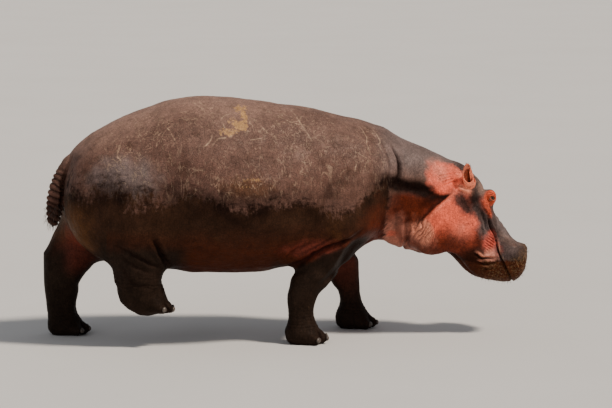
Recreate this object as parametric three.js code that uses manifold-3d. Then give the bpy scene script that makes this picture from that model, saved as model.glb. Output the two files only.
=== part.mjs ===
// A life-size common hippopotamus, walking, with its head lowered.
// Millimetres. +X is the way the animal faces, +Y its left side, +Z up, and the floor is z = 0.
//
// The flesh is one smooth field: a negative value is inside the animal and 0 is its skin. It is the
// smooth union of round masses (ellipsoids) and of tapering limbs (balls swept along a curve).
// netOf() draws the zero level of that field as a closed mesh, and manifold-3d parts the mesh into
// the trunk, neck, head, jaw, legs and feet with cuts that are GAP wide. Ears, eyes, tail and nails
// are pieces of their own.

import * as THREE from 'three';
import { mergeVertices } from 'three/addons/utils/BufferGeometryUtils.js';
import Module from 'manifold-3d';

const wasm = await Module();
wasm.setup();

// ---------------------------------------------------------------- driving dimensions

const GAP = 0.4;               // width of the cuts between neighbouring solids
const WELD = 0.05;             // corners closer than this become one
const LEFT = 1;                // sign of Y on the animal's left side
const RIGHT = -1;

// Edge length of the mesh cells, finer where the form is finer.
const CELL = { trunk: 118, neck: 88, head: 50, leg: 62, foot: 42 };

// Radii over which neighbouring masses melt into each other.
const MELT = { torso: 130, limb: 70, head: 55, face: 34, foot: 26 };

// The trunk and neck as balls along the spine: [x, z, radius, width as a share of height].
const SPINE = [
  [-960, 965, 466, 0.88],      // rump
  [-760, 985, 533, 0.94],
  [-541, 1000, 563, 0.98],     // top of the back, over the last ribs
  [-182, 980, 543, 0.99],      // belly
  [156, 992, 485, 0.94],       // ribs behind the shoulder
  [404, 990, 401, 0.96],       // shoulder
  [619, 992, 308, 0.95],       // base of the neck
  [808, 912, 308, 0.83],       // middle of the neck
  [985, 855, 262, 0.84],       // nape
];

// Masses of the body: [x, y, z], [radii]. A mass off the middle line stands on both sides.
const BODY_MASSES = {
  belly: [[-330, 0, 885], [640, 576, 380]],
  buttock: [[-1065, 195, 900], [380, 245, 370]],
  shoulderBlade: [[250, 235, 920], [270, 205, 370]],
  brisket: [[275, 0, 770], [235, 215, 160]],
  throatFold: [[797, 0, 712], [86, 140, 130]],
  withers: [[300, 0, 1270], [330, 190, 110]],
};

// The head leans forward by HEAD_PITCH from level and is tipped to its left by HEAD_ROLL. Its own
// axes are forward, left and up, from a point midway between the eyes.
const HEAD_AT = new THREE.Vector3(1295, 0, 868);
const HEAD_PITCH = THREE.MathUtils.degToRad(52);
const HEAD_ROLL = THREE.MathUtils.degToRad(-6);

// Masses of the head, in its own axes: [forward, left, up], [radii].
const HEAD_MASSES = {
  skull: [[-120, 0, -165], [235, 168, 172]],
  forehead: [[-75, 0, -72], [165, 112, 62]],
  cheekbone: [[0, 122, -110], [165, 72, 82]],
  jowl: [[-126, 116, -390], [192, 98, 202]],
  cheek: [[45, 122, -245], [200, 100, 165]],
  jaw: [[236, 78, -304], [164, 88, 86]],
  chin: [[356, 64, -240], [112, 98, 74]],
  bridge: [[215, 0, -126], [310, 102, 106]],
  lipPad: [[370, 106, -120], [104, 104, 96]],
  lipFront: [[420, 82, -172], [96, 108, 84]],
  lipMiddle: [[412, 0, -140], [90, 90, 100]],
};
const FACE_MASSES = {
  eyeMound: [[-28, 138, -4], [54, 48, 52]],
  nostrilMound: [[394, 86, -38], [50, 40, 38]],
  earRoot: [[-172, 146, -44], [62, 42, 52]],
};

const EYE = { at: [-24, 170, 0], radius: 22 };
const NOSTRIL = { at: [412, 92, -16], radii: [24, 10, 20] };

// The corner of the mouth in the head's own axes. From there the slit drops by MOUTH_SLOPE towards
// the front.
const MOUTH_AT = { forward: 240, up: -160 };
const MOUTH_SLOPE = THREE.MathUtils.degToRad(10);

// The ear: a cup that opens outwards, on a root in the head's own axes. From upright it leans back
// and out from the skull.
const EAR = { root: [-182, 168, -42], rise: 62, radii: [36, 26, 68], hollow: [26, 24, 54], open: 18 };
const EAR_LEAN = { right: { back: 20, out: 10 }, left: { back: 34, out: 42 } };

// Legs as balls along a curve: [x, y, z, radius]. They are narrower across than along by flat,
// which squeezes them towards LEG_LINE, on their own side.
const LEG_LINE = 288;
const LEGS = {
  front_right: {
    path: [[290, -262, 730, 215], [172, -285, 500, 136], [86, -290, 385, 100], [50, -290, 266, 82],
      [46, -290, 190, 72]],
    foot: [62, -290], heading: -4, flat: 0.9,
  },
  front_left: {
    path: [[340, 252, 800, 175], [408, 284, 500, 102], [440, 288, 323, 73], [458, 288, 190, 65]],
    foot: [472, 290], heading: 4, flat: 0.98,
  },
  hind_right: {
    path: [[-975, -255, 835, 290], [-1000, -292, 560, 186], [-1008, -292, 400, 148], [-965, -292, 320, 112]],
    foot: [-925, -292], heading: -3, flat: 0.84, lift: 232, pitch: 10,
  },
  hind_left: {
    path: [[-1080, 258, 820, 300], [-1270, 280, 665, 195], [-1385, 286, 520, 160], [-1425, 288, 290, 114],
      [-1434, 288, 180, 88]],
    foot: [-1412, 290], heading: 5, flat: 0.88,
  },
};

// One foot, in its own axes: forward, left and up from the middle of the sole.
const PAD = [[-8, 0, 58], [118, 104, 80]];
const PASTERN = [[-16, 0, 118], [82, 78, 84]];
const TOES = [
  { at: [92, 37, 36], radii: [58, 37, 40], turn: 8 },
  { at: [92, -37, 36], radii: [58, 37, 40], turn: -8 },
  { at: [44, 92, 34], radii: [54, 33, 35], turn: 34 },
  { at: [44, -92, 34], radii: [54, 33, 35], turn: -34 },
];
const NAIL = { radii: [17, 25, 21], set: 9, rise: 2, seat: 31, seatDepth: 60 };
const ANKLE_CUT = 128;         // height of the cut between leg and foot

// The tail hangs over the rump: [x, z, radius], and it is flatter towards its tip.
const TAIL = [[-1330, 1160, 74], [-1425, 1085, 62], [-1480, 960, 56], [-1502, 840, 55], [-1508, 726, 42]];
const TAIL_FLAT = { root: 1.0, tip: 0.5 };

// Cuts across the body: a point [x, z] of each plane, and how far it leans back from upright.
const NECK_CUT = { at: [585, 970], lean: 3 };
const HEAD_CUT = { at: [977, 860], lean: 22.7 };
// The blocks that part the legs from the trunk: x from, x to, and the height of the cut.
const LEG_BLOCKS = {
  front_right: [-80, 420, 446],
  front_left: [230, 560, 472],
  hind_right: [-1400, -780, 446],
  hind_left: [-1700, -1090, 545],
};
const CUT_SIZE = 4000;         // larger than the animal

// The room that the net of each region is drawn in: [lowest corner], [highest corner].
const TRUNK_ROOM = [[-1700, -790, 330], [800, 790, 1720]];
const NECK_ROOM = [[420, -620, 400], [1260, 620, 1500]];
const HEAD_ROOM = [[780, -330, 330], [1720, 330, 1230]];
// Round a leg's block and round a foot's sole: how far the room reaches past each.
const LIMB_ROOM = { along: 60, inner: 40, outer: 760, below: 60, above: 80 };
const FOOT_ROOM = { back: 220, front: 230, side: 200, below: 70, above: 260 };
// The grid of the head is finer where the eye mounds stand: bands of [from, to, cell].
const FACE_GRID = { x: [[1240, 1345, 34]], y: [[-196, -94, 34], [94, 196, 34]], z: [[830, 950, 34]] };

// How many steps the sampled curves have, and how many faces go round and down a ball.
const SPINE_STEPS = 40;
const LEG_STEPS = 10;
const BALL = { small: [8, 6], plain: [12, 8], tail: [10, 12] };
const NAIL_SIDES = 8;
const TAIL_BLUNTNESS = 0.25;   // 0 is a tail cut off square, 1 one that ends like a ball

// ---------------------------------------------------------------- the field

// Smooth union of two distances that melt together over k.
function melt(a, b, k) {
  const h = Math.max(k - Math.abs(a - b), 0) / k;
  return Math.min(a, b) - (h * h * k) / 4;
}

// Close to the distance from an ellipsoid with the given centre and radii.
function ellipsoid(x, y, z, [cx, cy, cz], [rx, ry, rz]) {
  const u = (x - cx) / rx;
  const v = (y - cy) / ry;
  const w = (z - cz) / rz;
  const inRadii = Math.hypot(u, v, w);
  const slope = Math.hypot(u / rx, v / ry, w / rz);
  return slope > 1e-9 ? (inRadii * (inRadii - 1)) / slope : -Math.min(rx, ry, rz);
}

// The masses of a table melted together. Mirrored ones are read through |y|.
function masses(x, y, z, table, k) {
  let d = Infinity;
  for (const [centre, radii] of Object.values(table)) {
    d = melt(d, ellipsoid(x, centre[1] > 0 ? Math.abs(y) : y, z, centre, radii), k);
  }
  return d;
}

// Samples a smooth curve through stations of any length, as an array of arrays.
function smoothStations(stations, steps) {
  const size = stations[0].length;
  const curves = [];
  for (let k = 0; k < size; k++) {
    curves.push(new THREE.SplineCurve(stations.map((s, i) => new THREE.Vector2(i, s[k]))));
  }
  return Array.from({ length: steps + 1 }, (_, i) => curves.map((c) => c.getPoint(i / steps).y));
}

// Distance from balls swept along a sampled path of [x, y, z, radius].
function sweep(x, y, z, path) {
  let best = Infinity;
  for (let i = 0; i + 1 < path.length; i++) {
    const [ax, ay, az, ar] = path[i];
    const [bx, by, bz, br] = path[i + 1];
    const dx = bx - ax;
    const dy = by - ay;
    const dz = bz - az;
    const along = ((x - ax) * dx + (y - ay) * dy + (z - az) * dz) / (dx * dx + dy * dy + dz * dz);
    const t = THREE.MathUtils.clamp(along, 0, 1);
    const reach = Math.hypot(x - ax - t * dx, y - ay - t * dy, z - az - t * dz);
    best = Math.min(best, reach - ar - t * (br - ar));
  }
  return best;
}

const spineStations = smoothStations(SPINE, SPINE_STEPS);
const spinePath = spineStations.map(([x, z, r]) => [x, 0, z, r]);

// Width of the body as a share of its height, at x.
function widthShare(x) {
  let i = 0;
  while (i + 2 < spineStations.length && spineStations[i + 1][0] < x) i++;
  const [x0, , , w0] = spineStations[i];
  const [x1, , , w1] = spineStations[i + 1];
  return THREE.MathUtils.lerp(w0, w1, THREE.MathUtils.clamp((x - x0) / (x1 - x0), 0, 1));
}

function torsoField(x, y, z) {
  const share = widthShare(x);
  const spine = sweep(x, y / share, z, spinePath) * Math.min(1, share);
  return melt(spine, masses(x, y, z, BODY_MASSES, MELT.torso), MELT.torso);
}

// The head's own axes and back.
const headFrame = new THREE.Matrix4()
  .makeRotationFromEuler(new THREE.Euler(HEAD_ROLL, HEAD_PITCH, 0, 'YXZ'))
  .setPosition(HEAD_AT);
const toHead = headFrame.clone().invert();
const scratch = new THREE.Vector3();

function headField(x, y, z) {
  const p = scratch.set(x, y, z).applyMatrix4(toHead);
  const big = masses(p.x, p.y, p.z, HEAD_MASSES, MELT.head);
  const small = masses(p.x, p.y, p.z, FACE_MASSES, MELT.face);
  return melt(big, small, MELT.face);
}

// Axes of one foot: it stands on the floor, or is held above it by lift and tipped by pitch.
function footFrame({ foot, heading, lift = 0, pitch = 0 }) {
  const turn = new THREE.Euler(
    0,
    THREE.MathUtils.degToRad(pitch),
    THREE.MathUtils.degToRad(heading),
    'ZYX',
  );
  return new THREE.Matrix4().makeRotationFromEuler(turn).setPosition(foot[0], foot[1], lift);
}

const legs = Object.entries(LEGS).map(([name, leg]) => ({
  name,
  ...leg,
  frame: footFrame(leg),
  inverse: footFrame(leg).invert(),
  samples: smoothStations(leg.path, LEG_STEPS),
}));

function turned(x, y, { at, turn }) {
  const a = THREE.MathUtils.degToRad(turn);
  const dx = x - at[0];
  const dy = y - at[1];
  return [dx * Math.cos(a) + dy * Math.sin(a), dy * Math.cos(a) - dx * Math.sin(a)];
}

function footField(leg, x, y, z) {
  const p = scratch.set(x, y, z).applyMatrix4(leg.inverse);
  let d = melt(ellipsoid(p.x, p.y, p.z, ...PAD), ellipsoid(p.x, p.y, p.z, ...PASTERN), MELT.foot * 2);
  for (const toe of TOES) {
    const [u, v] = turned(p.x, p.y, toe);
    d = melt(d, ellipsoid(u, v, p.z - toe.at[2], [0, 0, 0], toe.radii), MELT.foot);
  }
  return d;
}

function legField(leg, x, y, z) {
  const side = Math.sign(leg.foot[1]) * LEG_LINE;
  const limb = sweep(x, side + (y - side) / leg.flat, z, leg.samples) * leg.flat;
  return melt(limb, footField(leg, x, y, z), MELT.foot * 2);
}

// The whole animal without its ears and tail.
function fleshField(x, y, z) {
  let d = melt(torsoField(x, y, z), headField(x, y, z), MELT.head);
  for (const leg of legs) d = melt(d, legField(leg, x, y, z), MELT.limb);
  return d;
}

// ---------------------------------------------------------------- from field to solid

// Positions of the grid lines along one axis, closer together inside the fine bands
// [from, to, cell].
function gridLines(from, to, cell, fine = []) {
  const lines = [from];
  while (lines[lines.length - 1] < to) {
    const at = lines[lines.length - 1];
    const band = fine.find(([start, end]) => at >= start && at < end);
    const next = fine.find(([start]) => start > at && start < at + cell);
    if (band) lines.push(at + band[2]);
    else if (next) lines.push(next[0] - at > cell * 0.4 ? next[0] : at + (next[2] + cell) / 2);
    else lines.push(at + cell);
  }
  return lines;
}

// Draws the zero level of a field inside a Box3 as a closed mesh: one vertex in each grid cell that
// the skin crosses, moved onto the skin, and one quad round each grid edge that it crosses.
function netOf(field, box, cell, fine = {}) {
  const margin = cell * 0.02;
  const clipped = (x, y, z) => Math.max(
    field(x, y, z),
    box.min.x + margin - x, x - box.max.x + margin,
    box.min.y + margin - y, y - box.max.y + margin,
    box.min.z + margin - z, z - box.max.z + margin,
  );
  const lines = ['x', 'y', 'z'].map((a) => gridLines(box.min[a], box.max[a], cell, fine[a]));
  const [nx, ny, nz] = lines.map((l) => l.length);
  const step = [1, nx, nx * ny];
  const values = new Float32Array(nx * ny * nz);
  const eachNode = (visit, less) => {
    for (let k = 0; k < nz - less; k++) {
      for (let j = 0; j < ny - less; j++) {
        for (let i = 0; i < nx - less; i++) visit(i, j, k, i + nx * (j + ny * k));
      }
    }
  };
  eachNode((i, j, k, at) => {
    values[at] = clipped(lines[0][i], lines[1][j], lines[2][k]);
  }, 0);
  while (fillPinches(values, step, eachNode));

  const corners = [0, 1, 2, 3, 4, 5, 6, 7].map((c) => [c & 1, (c >> 1) & 1, c >> 2]);
  const edges = corners.flatMap((a, p) => corners
    .map((b, q) => [p, q, Math.abs(a[0] - b[0]) + Math.abs(a[1] - b[1]) + Math.abs(a[2] - b[2])])
    .filter(([, q, apart]) => p < q && apart === 1));
  const points = [];
  const cellPoint = new Int32Array(values.length).fill(-1);
  eachNode((i, j, k, at) => {
    const v = corners.map(([a, b, c]) => values[at + a * step[0] + b * step[1] + c * step[2]]);
    const mean = new THREE.Vector3();
    let crossings = 0;
    for (const [p, q] of edges) {
      if (v[p] < 0 === v[q] < 0) continue;
      const t = v[p] / (v[p] - v[q]);
      const [a, b] = [corners[p], corners[q]].map((c) => new THREE.Vector3(
        lines[0][i + c[0]],
        lines[1][j + c[1]],
        lines[2][k + c[2]],
      ));
      mean.add(a.lerp(b, t));
      crossings++;
    }
    if (!crossings) return;
    const low = new THREE.Vector3(lines[0][i], lines[1][j], lines[2][k]);
    const high = new THREE.Vector3(lines[0][i + 1], lines[1][j + 1], lines[2][k + 1]);
    cellPoint[at] = points.length;
    points.push(ontoSkin(mean.divideScalar(crossings), clipped, new THREE.Box3(low, high)));
  }, 1);

  const triangles = [];
  eachNode((i, j, k, at) => {
    const inside = values[at] < 0;
    for (let axis = 0; axis < 3; axis++) {
      if (inside === values[at + step[axis]] < 0) continue;
      const u = step[(axis + 1) % 3];
      const w = step[(axis + 2) % 3];
      const quad = [at - u - w, at - w, at, at - u].map((c) => cellPoint[c]);
      addQuad(triangles, points, inside ? quad : quad.reverse());
    }
  }, 1);
  const geometry = new THREE.BufferGeometry().setFromPoints(points);
  geometry.setIndex(triangles);
  return geometry;
}

// Where only two opposite corners of a grid square are inside, the skin would pinch itself. One more
// corner is taken inside there. Tells whether it found such a square.
function fillPinches(values, step, eachNode) {
  let found = false;
  eachNode((i, j, k, at) => {
    for (let axis = 0; axis < 3; axis++) {
      const [u, w] = [step[(axis + 1) % 3], step[(axis + 2) % 3]];
      const square = [at, at + u, at + u + w, at + w];
      const [a, b, c, d] = square.map((n) => values[n] < 0);
      if (a !== c || b !== d || a === b) continue;
      const outside = square.filter((n) => values[n] >= 0);
      const nearest = values[outside[0]] < values[outside[1]] ? outside[0] : outside[1];
      values[nearest] = -1;
      found = true;
    }
  }, 1);
  return found;
}

// Slides a point along the field's slope onto the zero level. It stays well inside its own cell, so
// that no two points meet.
function ontoSkin(point, field, cellBox) {
  const size = cellBox.getSize(new THREE.Vector3()).x;
  const inner = cellBox.clone().expandByScalar(-size * 0.08);
  const e = size * 0.02;
  for (let turn = 0; turn < 3; turn++) {
    const { x, y, z } = point;
    const slope = new THREE.Vector3(
      field(x + e, y, z) - field(x - e, y, z),
      field(x, y + e, z) - field(x, y - e, z),
      field(x, y, z + e) - field(x, y, z - e),
    ).divideScalar(2 * e);
    const steepness = slope.lengthSq();
    if (steepness < 1e-6) break;
    point.addScaledVector(slope, -field(x, y, z) / steepness).clamp(inner.min, inner.max);
  }
  return point;
}

// Two triangles for a quad, split along its shorter diagonal.
function addQuad(triangles, points, [a, b, c, d]) {
  if (points[a].distanceTo(points[c]) <= points[b].distanceTo(points[d])) {
    triangles.push(a, b, c, a, c, d);
  } else {
    triangles.push(a, b, d, b, c, d);
  }
}

// A closed geometry as a manifold-3d solid.
function solidOf(geometry) {
  const bare = geometry.clone();
  bare.deleteAttribute('normal');
  bare.deleteAttribute('uv');
  const merged = mergeVertices(bare, 1e-3);
  return new wasm.Manifold(new wasm.Mesh({
    numProp: 3,
    vertProperties: new Float32Array(merged.attributes.position.array),
    triVerts: new Uint32Array(merged.index.array),
  }));
}

// The largest body of a solid, without slivers that a cut may leave.
function mainBody(solid) {
  return solid.decompose().sort((a, b) => b.volume() - a.volume())[0];
}

// A solid as a geometry. Corners that a cut left closer together than WELD become one corner, and
// the slivers between them go.
function geometryOf(solid) {
  const mesh = solid.getMesh();
  const geometry = mergeVertices(new THREE.BufferGeometry()
    .setAttribute('position', new THREE.BufferAttribute(new Float32Array(mesh.vertProperties), 3))
    .setIndex(new THREE.BufferAttribute(new Uint32Array(mesh.triVerts), 1)), WELD);
  const corners = geometry.index.array;
  const kept = [];
  for (let i = 0; i < corners.length; i += 3) {
    const [a, b, c] = corners.slice(i, i + 3);
    if (a !== b && b !== c && c !== a) kept.push(a, b, c);
  }
  geometry.setIndex(kept);
  return geometry;
}

function boxSolid(min, max, matrix = new THREE.Matrix4()) {
  const box = new THREE.Box3(new THREE.Vector3(...min), new THREE.Vector3(...max));
  const size = box.getSize(new THREE.Vector3());
  const geometry = new THREE.BoxGeometry(...size.toArray())
    .translate(...box.getCenter(new THREE.Vector3()).toArray())
    .applyMatrix4(matrix);
  return solidOf(geometry);
}

// A ball stretched to radii and placed by a matrix.
function ballSolid(radii, matrix, faces) {
  const geometry = new THREE.SphereGeometry(1, ...faces).scale(...radii).applyMatrix4(matrix);
  return solidOf(geometry);
}

// Everything in front of a plane across the body that leans back by lean degrees.
function inFrontOf({ at, lean }, shift) {
  const frame = new THREE.Matrix4()
    .makeRotationY(THREE.MathUtils.degToRad(lean))
    .setPosition(at[0], 0, at[1]);
  return boxSolid([shift, -CUT_SIZE, -CUT_SIZE], [CUT_SIZE, CUT_SIZE, CUT_SIZE], frame);
}

// The block that holds one leg, grown by grow on every side.
function legBlock(leg, grow) {
  const [from, to, height] = LEG_BLOCKS[leg.name];
  const outer = leg.foot[1] > 0 ? CUT_SIZE : 0;
  const inner = leg.foot[1] > 0 ? 0 : -CUT_SIZE;
  return boxSolid([from - grow, inner - grow, -CUT_SIZE], [to + grow, outer + grow, height + grow]);
}

// The seat of a nail: it faces forward along its toe, a little behind the toe's tip.
function nailFrame(leg, toe) {
  const a = THREE.MathUtils.degToRad(toe.turn);
  const reach = toe.radii[0] - NAIL.set;
  return leg.frame.clone().multiply(new THREE.Matrix4()
    .makeRotationZ(a)
    .setPosition(
      toe.at[0] + reach * Math.cos(a),
      toe.at[1] + reach * Math.sin(a),
      toe.at[2] + NAIL.rise,
    ));
}

// A nail is a dome with a flat back, GAP in front of its seat.
function nailSolid(frame) {
  const dome = [[0, 0], [1, 0], [0.86, 0.5], [0.5, 0.86], [0, 1]].map(([r, h]) => new THREE.Vector2(r, h));
  const [deep, wide, tall] = NAIL.radii;
  const geometry = new THREE.LatheGeometry(dome, NAIL_SIDES)
    .rotateZ(-Math.PI / 2)
    .scale(deep, wide, tall)
    .translate(GAP, 0, 0)
    .applyMatrix4(frame);
  return solidOf(geometry);
}

// Everything of a foot's own frame below the ankle cut.
function belowAnkle(leg, shift) {
  return boxSolid([-300, -300, -500], [300, 300, ANKLE_CUT + shift], leg.frame);
}

// ---------------------------------------------------------------- finishes

const finish = (color, roughness) => new THREE.MeshStandardMaterial({ color, roughness, metalness: 0 });
const HIDE = finish(0x5a4640, 0.62);
const FACE_HIDE = finish(0x9c5a4a, 0.55);
const EYE_GLAZE = finish(0x1a100c, 0.12);
const HORN = finish(0x3a322c, 0.45);

const animal = new THREE.Group();

function addPiece(name, solid, material) {
  const mesh = new THREE.Mesh(geometryOf(mainBody(solid)), material);
  mesh.name = name;
  animal.add(mesh);
}

// ---------------------------------------------------------------- the pieces

const floorUp = boxSolid([-CUT_SIZE, -CUT_SIZE, 0], [CUT_SIZE, CUT_SIZE, CUT_SIZE]);

function roomOf([min, max]) {
  return new THREE.Box3(new THREE.Vector3(...min), new THREE.Vector3(...max));
}

function makeTrunk() {
  const torso = solidOf(netOf(fleshField, roomOf(TRUNK_ROOM), CELL.trunk));
  let trunk = torso.subtract(inFrontOf(NECK_CUT, -GAP / 2));
  for (const leg of legs) trunk = trunk.subtract(legBlock(leg, GAP));
  return mainBody(trunk);
}

function makeNeck() {
  return solidOf(netOf(fleshField, roomOf(NECK_ROOM), CELL.neck))
    .intersect(inFrontOf(NECK_CUT, GAP / 2))
    .subtract(inFrontOf(HEAD_CUT, -GAP / 2));
}

// The head with its skin moved out by offset.
function makeWholeHead(offset) {
  const field = (x, y, z) => fleshField(x, y, z) - offset;
  return solidOf(netOf(field, roomOf(HEAD_ROOM), CELL.head, FACE_GRID))
    .intersect(inFrontOf(HEAD_CUT, GAP / 2));
}

// The lower jaw: what lies under the mouth slit, in front of the cheek.
function jawBlock(grow) {
  const frame = headFrame.clone().multiply(
    new THREE.Matrix4().makeRotationY(MOUTH_SLOPE).setPosition(MOUTH_AT.forward, 0, MOUTH_AT.up),
  );
  return boxSolid([-grow, -CUT_SIZE, -CUT_SIZE], [CUT_SIZE, CUT_SIZE, grow], frame);
}

// A place on one side of the head, with the head's own axes.
function onHead([forward, across, up], side) {
  return headFrame.clone().multiply(new THREE.Matrix4().setPosition(forward, side * across, up));
}

function addHead() {
  let head = makeWholeHead(0);
  const jaw = head.intersect(jawBlock(0));
  head = head.subtract(jawBlock(GAP));
  for (const side of [RIGHT, LEFT]) {
    const name = side === LEFT ? 'left' : 'right';
    const socket = Array(3).fill(EYE.radius + GAP * 1.5);
    head = head
      .subtract(ballSolid(socket, onHead(EYE.at, side), BALL.plain))
      .subtract(ballSolid(NOSTRIL.radii, onHead(NOSTRIL.at, side), BALL.small));
    const eyeball = ballSolid(Array(3).fill(EYE.radius), onHead(EYE.at, side), BALL.plain);
    addPiece(`eye_${name}`, eyeball, EYE_GLAZE);
  }
  addPiece('head', head, FACE_HIDE);
  addPiece('lower_jaw', jaw, FACE_HIDE);
}

function addEars() {
  const skull = makeWholeHead(GAP * 2);
  for (const side of [RIGHT, LEFT]) {
    const name = side === LEFT ? 'left' : 'right';
    const { back, out } = EAR_LEAN[name];
    const root = new THREE.Vector3().setFromMatrixPosition(onHead(EAR.root, side));
    const frame = new THREE.Matrix4()
      .makeRotationFromEuler(new THREE.Euler(
        THREE.MathUtils.degToRad(-side * out),
        THREE.MathUtils.degToRad(-back),
        0,
      ))
      .setPosition(root)
      .multiply(new THREE.Matrix4().setPosition(0, 0, EAR.rise));
    const hollowFrame = frame.clone().multiply(new THREE.Matrix4().setPosition(0, side * EAR.open, 4));
    const ear = ballSolid(EAR.radii, frame, BALL.plain)
      .subtract(ballSolid(EAR.hollow, hollowFrame, BALL.small))
      .subtract(skull);
    addPiece(`ear_${name}`, ear, FACE_HIDE);
  }
}

function addLegs() {
  for (const leg of legs) {
    const [from, to, height] = LEG_BLOCKS[leg.name];
    const [footX, footY] = leg.foot;
    const { along, inner, outer, below, above } = LIMB_ROOM;
    const limbRoom = roomOf([
      [from - along, footY > 0 ? -inner : -outer, -below],
      [to + along, footY > 0 ? outer : inner, height + above],
    ]);
    const limb = solidOf(netOf(fleshField, limbRoom, CELL.leg))
      .intersect(legBlock(leg, 0))
      .subtract(belowAnkle(leg, GAP));
    addPiece(`leg_${leg.name}`, limb, HIDE);

    const lift = leg.lift ?? 0;
    const footRoom = roomOf([
      [footX - FOOT_ROOM.back, footY - FOOT_ROOM.side, lift - FOOT_ROOM.below],
      [footX + FOOT_ROOM.front, footY + FOOT_ROOM.side, lift + FOOT_ROOM.above],
    ]);
    let foot = solidOf(netOf(fleshField, footRoom, CELL.foot))
      .intersect(belowAnkle(leg, 0))
      .intersect(floorUp);
    TOES.forEach((toe, i) => {
      const frame = nailFrame(leg, toe);
      const { seat, seatDepth } = NAIL;
      foot = foot.subtract(boxSolid([0, -seat, -seat], [seatDepth, seat, seat], frame));
      addPiece(`nail_${leg.name}_${i + 1}`, nailSolid(frame), HORN);
    });
    addPiece(`foot_${leg.name}`, foot, HIDE);
  }
}

// The tail is a ball drawn out along its path: each ring of the ball becomes a ring of the tail.
function tailGeometry() {
  const path = new THREE.CatmullRomCurve3(TAIL.map(([x, z]) => new THREE.Vector3(x, 0, z)));
  const radius = new THREE.SplineCurve(TAIL.map(([, , r], i) => new THREE.Vector2(i, r)));
  const across = new THREE.Vector3(0, 1, 0);
  const geometry = new THREE.SphereGeometry(1, ...BALL.tail);
  const { position } = geometry.attributes;
  for (let i = 0; i < position.count; i++) {
    const v = new THREE.Vector3().fromBufferAttribute(position, i);
    const t = Math.acos(THREE.MathUtils.clamp(v.y, -1, 1)) / Math.PI;
    const rim = Math.hypot(v.x, v.z);
    const size = radius.getPoint(t).y * rim ** TAIL_BLUNTNESS;
    const flat = THREE.MathUtils.lerp(TAIL_FLAT.root, TAIL_FLAT.tip, t);
    const back = across.clone().cross(path.getTangent(t));
    const round = rim > 1e-6 ? [v.x / rim, v.z / rim] : [0, 0];
    const point = path.getPoint(t)
      .addScaledVector(back, size * round[0])
      .addScaledVector(across, size * flat * round[1]);
    position.setXYZ(i, point.x, point.y, point.z);
  }
  return geometry;
}

// The trunk, moved back by a little more than the gap, is what the tail is cut by.
function addTail(trunk) {
  const moved = geometryOf(trunk).translate(-GAP * 1.5, 0, GAP * 1.5);
  addPiece('tail', solidOf(tailGeometry()).subtract(solidOf(moved)), HIDE);
}

const trunk = makeTrunk();
addPiece('trunk', trunk, HIDE);
addPiece('neck', makeNeck(), HIDE);
addHead();
addEars();
addLegs();
addTail(trunk);

// The origin is on the floor, under the middle of the whole animal.
const bounds = new THREE.Box3().setFromObject(animal);
const middle = bounds.getCenter(new THREE.Vector3());
animal.position.set(-middle.x, -middle.y, -bounds.min.z);

const hippopotamus = new THREE.Group();
hippopotamus.add(animal);

export default hippopotamus;
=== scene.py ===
"""A life-size hippopotamus in mid-stride, its head lowered.

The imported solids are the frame. One skin, grown from them, replaces every node of flesh. It is
shaped like clay in numpy: first the facets are relaxed away, then folds, lids, pleats, nostrils,
ears and toes are pressed or raised, and last its colours are laid on point by point. Eyes, nails
and bristles are pieces of their own. Lengths are metres, in the frame of the solids: +X is the way
the animal faces, +Y its left and +Z up.
"""

import functools
import math

import bmesh
import bpy
import numpy as np
from bpy.props import FloatProperty, FloatVectorProperty, PointerProperty
from mathutils import Matrix, Vector


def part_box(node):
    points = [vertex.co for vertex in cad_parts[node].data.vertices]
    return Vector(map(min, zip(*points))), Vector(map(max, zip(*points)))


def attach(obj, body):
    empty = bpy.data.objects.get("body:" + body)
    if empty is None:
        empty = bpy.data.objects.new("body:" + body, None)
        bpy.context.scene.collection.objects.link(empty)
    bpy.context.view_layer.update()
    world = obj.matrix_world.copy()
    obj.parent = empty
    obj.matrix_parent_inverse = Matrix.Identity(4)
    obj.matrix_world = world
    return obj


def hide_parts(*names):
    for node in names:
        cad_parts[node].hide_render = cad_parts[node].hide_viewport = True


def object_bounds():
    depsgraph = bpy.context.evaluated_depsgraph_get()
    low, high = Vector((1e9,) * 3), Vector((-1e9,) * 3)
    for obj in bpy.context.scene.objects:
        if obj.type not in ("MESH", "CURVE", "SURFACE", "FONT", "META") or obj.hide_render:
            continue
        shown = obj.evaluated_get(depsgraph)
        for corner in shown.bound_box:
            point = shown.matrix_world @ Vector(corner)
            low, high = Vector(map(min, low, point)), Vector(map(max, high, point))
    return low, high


bl_info = {
    "name": "Hippopotamus",
    "version": (1, 0, 0),
    "blender": (4, 5, 0),
    "location": "3D View > Sidebar > Hippo",
    "description": "A life-size walking hippopotamus: skin, eyes, nails, bristles and a studio stage",
    "category": "Add Mesh",
}

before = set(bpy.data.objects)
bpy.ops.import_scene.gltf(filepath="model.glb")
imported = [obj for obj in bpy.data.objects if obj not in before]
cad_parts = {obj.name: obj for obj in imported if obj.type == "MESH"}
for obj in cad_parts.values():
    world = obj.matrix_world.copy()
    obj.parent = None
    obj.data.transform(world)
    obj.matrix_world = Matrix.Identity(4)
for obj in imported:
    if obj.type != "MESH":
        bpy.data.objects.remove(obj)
CAD_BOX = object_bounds()

RIGHT = -1
LEFT = 1
SIDE_NAMES = {RIGHT: "right", LEFT: "left"}
LEG_NAMES = ("front_right", "front_left", "hind_right", "hind_left")
TOES_PER_FOOT = 4
FLESH = [
    "trunk", "neck", "head", "lower_jaw", "ear_right", "ear_left", "tail",
    *[f"leg_{leg}" for leg in LEG_NAMES],
    *[f"foot_{leg}" for leg in LEG_NAMES],
]
EARLESS = [node for node in FLESH if not node.startswith("ear_")]


# ---------------------------------------------------------------- settings


def length(name, description, default):
    return FloatProperty(name=name, description=description, default=default, min=0.0, unit="LENGTH")


def share(name, description, default):
    return FloatProperty(name=name, description=description, default=default, min=0.0, subtype="FACTOR")


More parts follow.
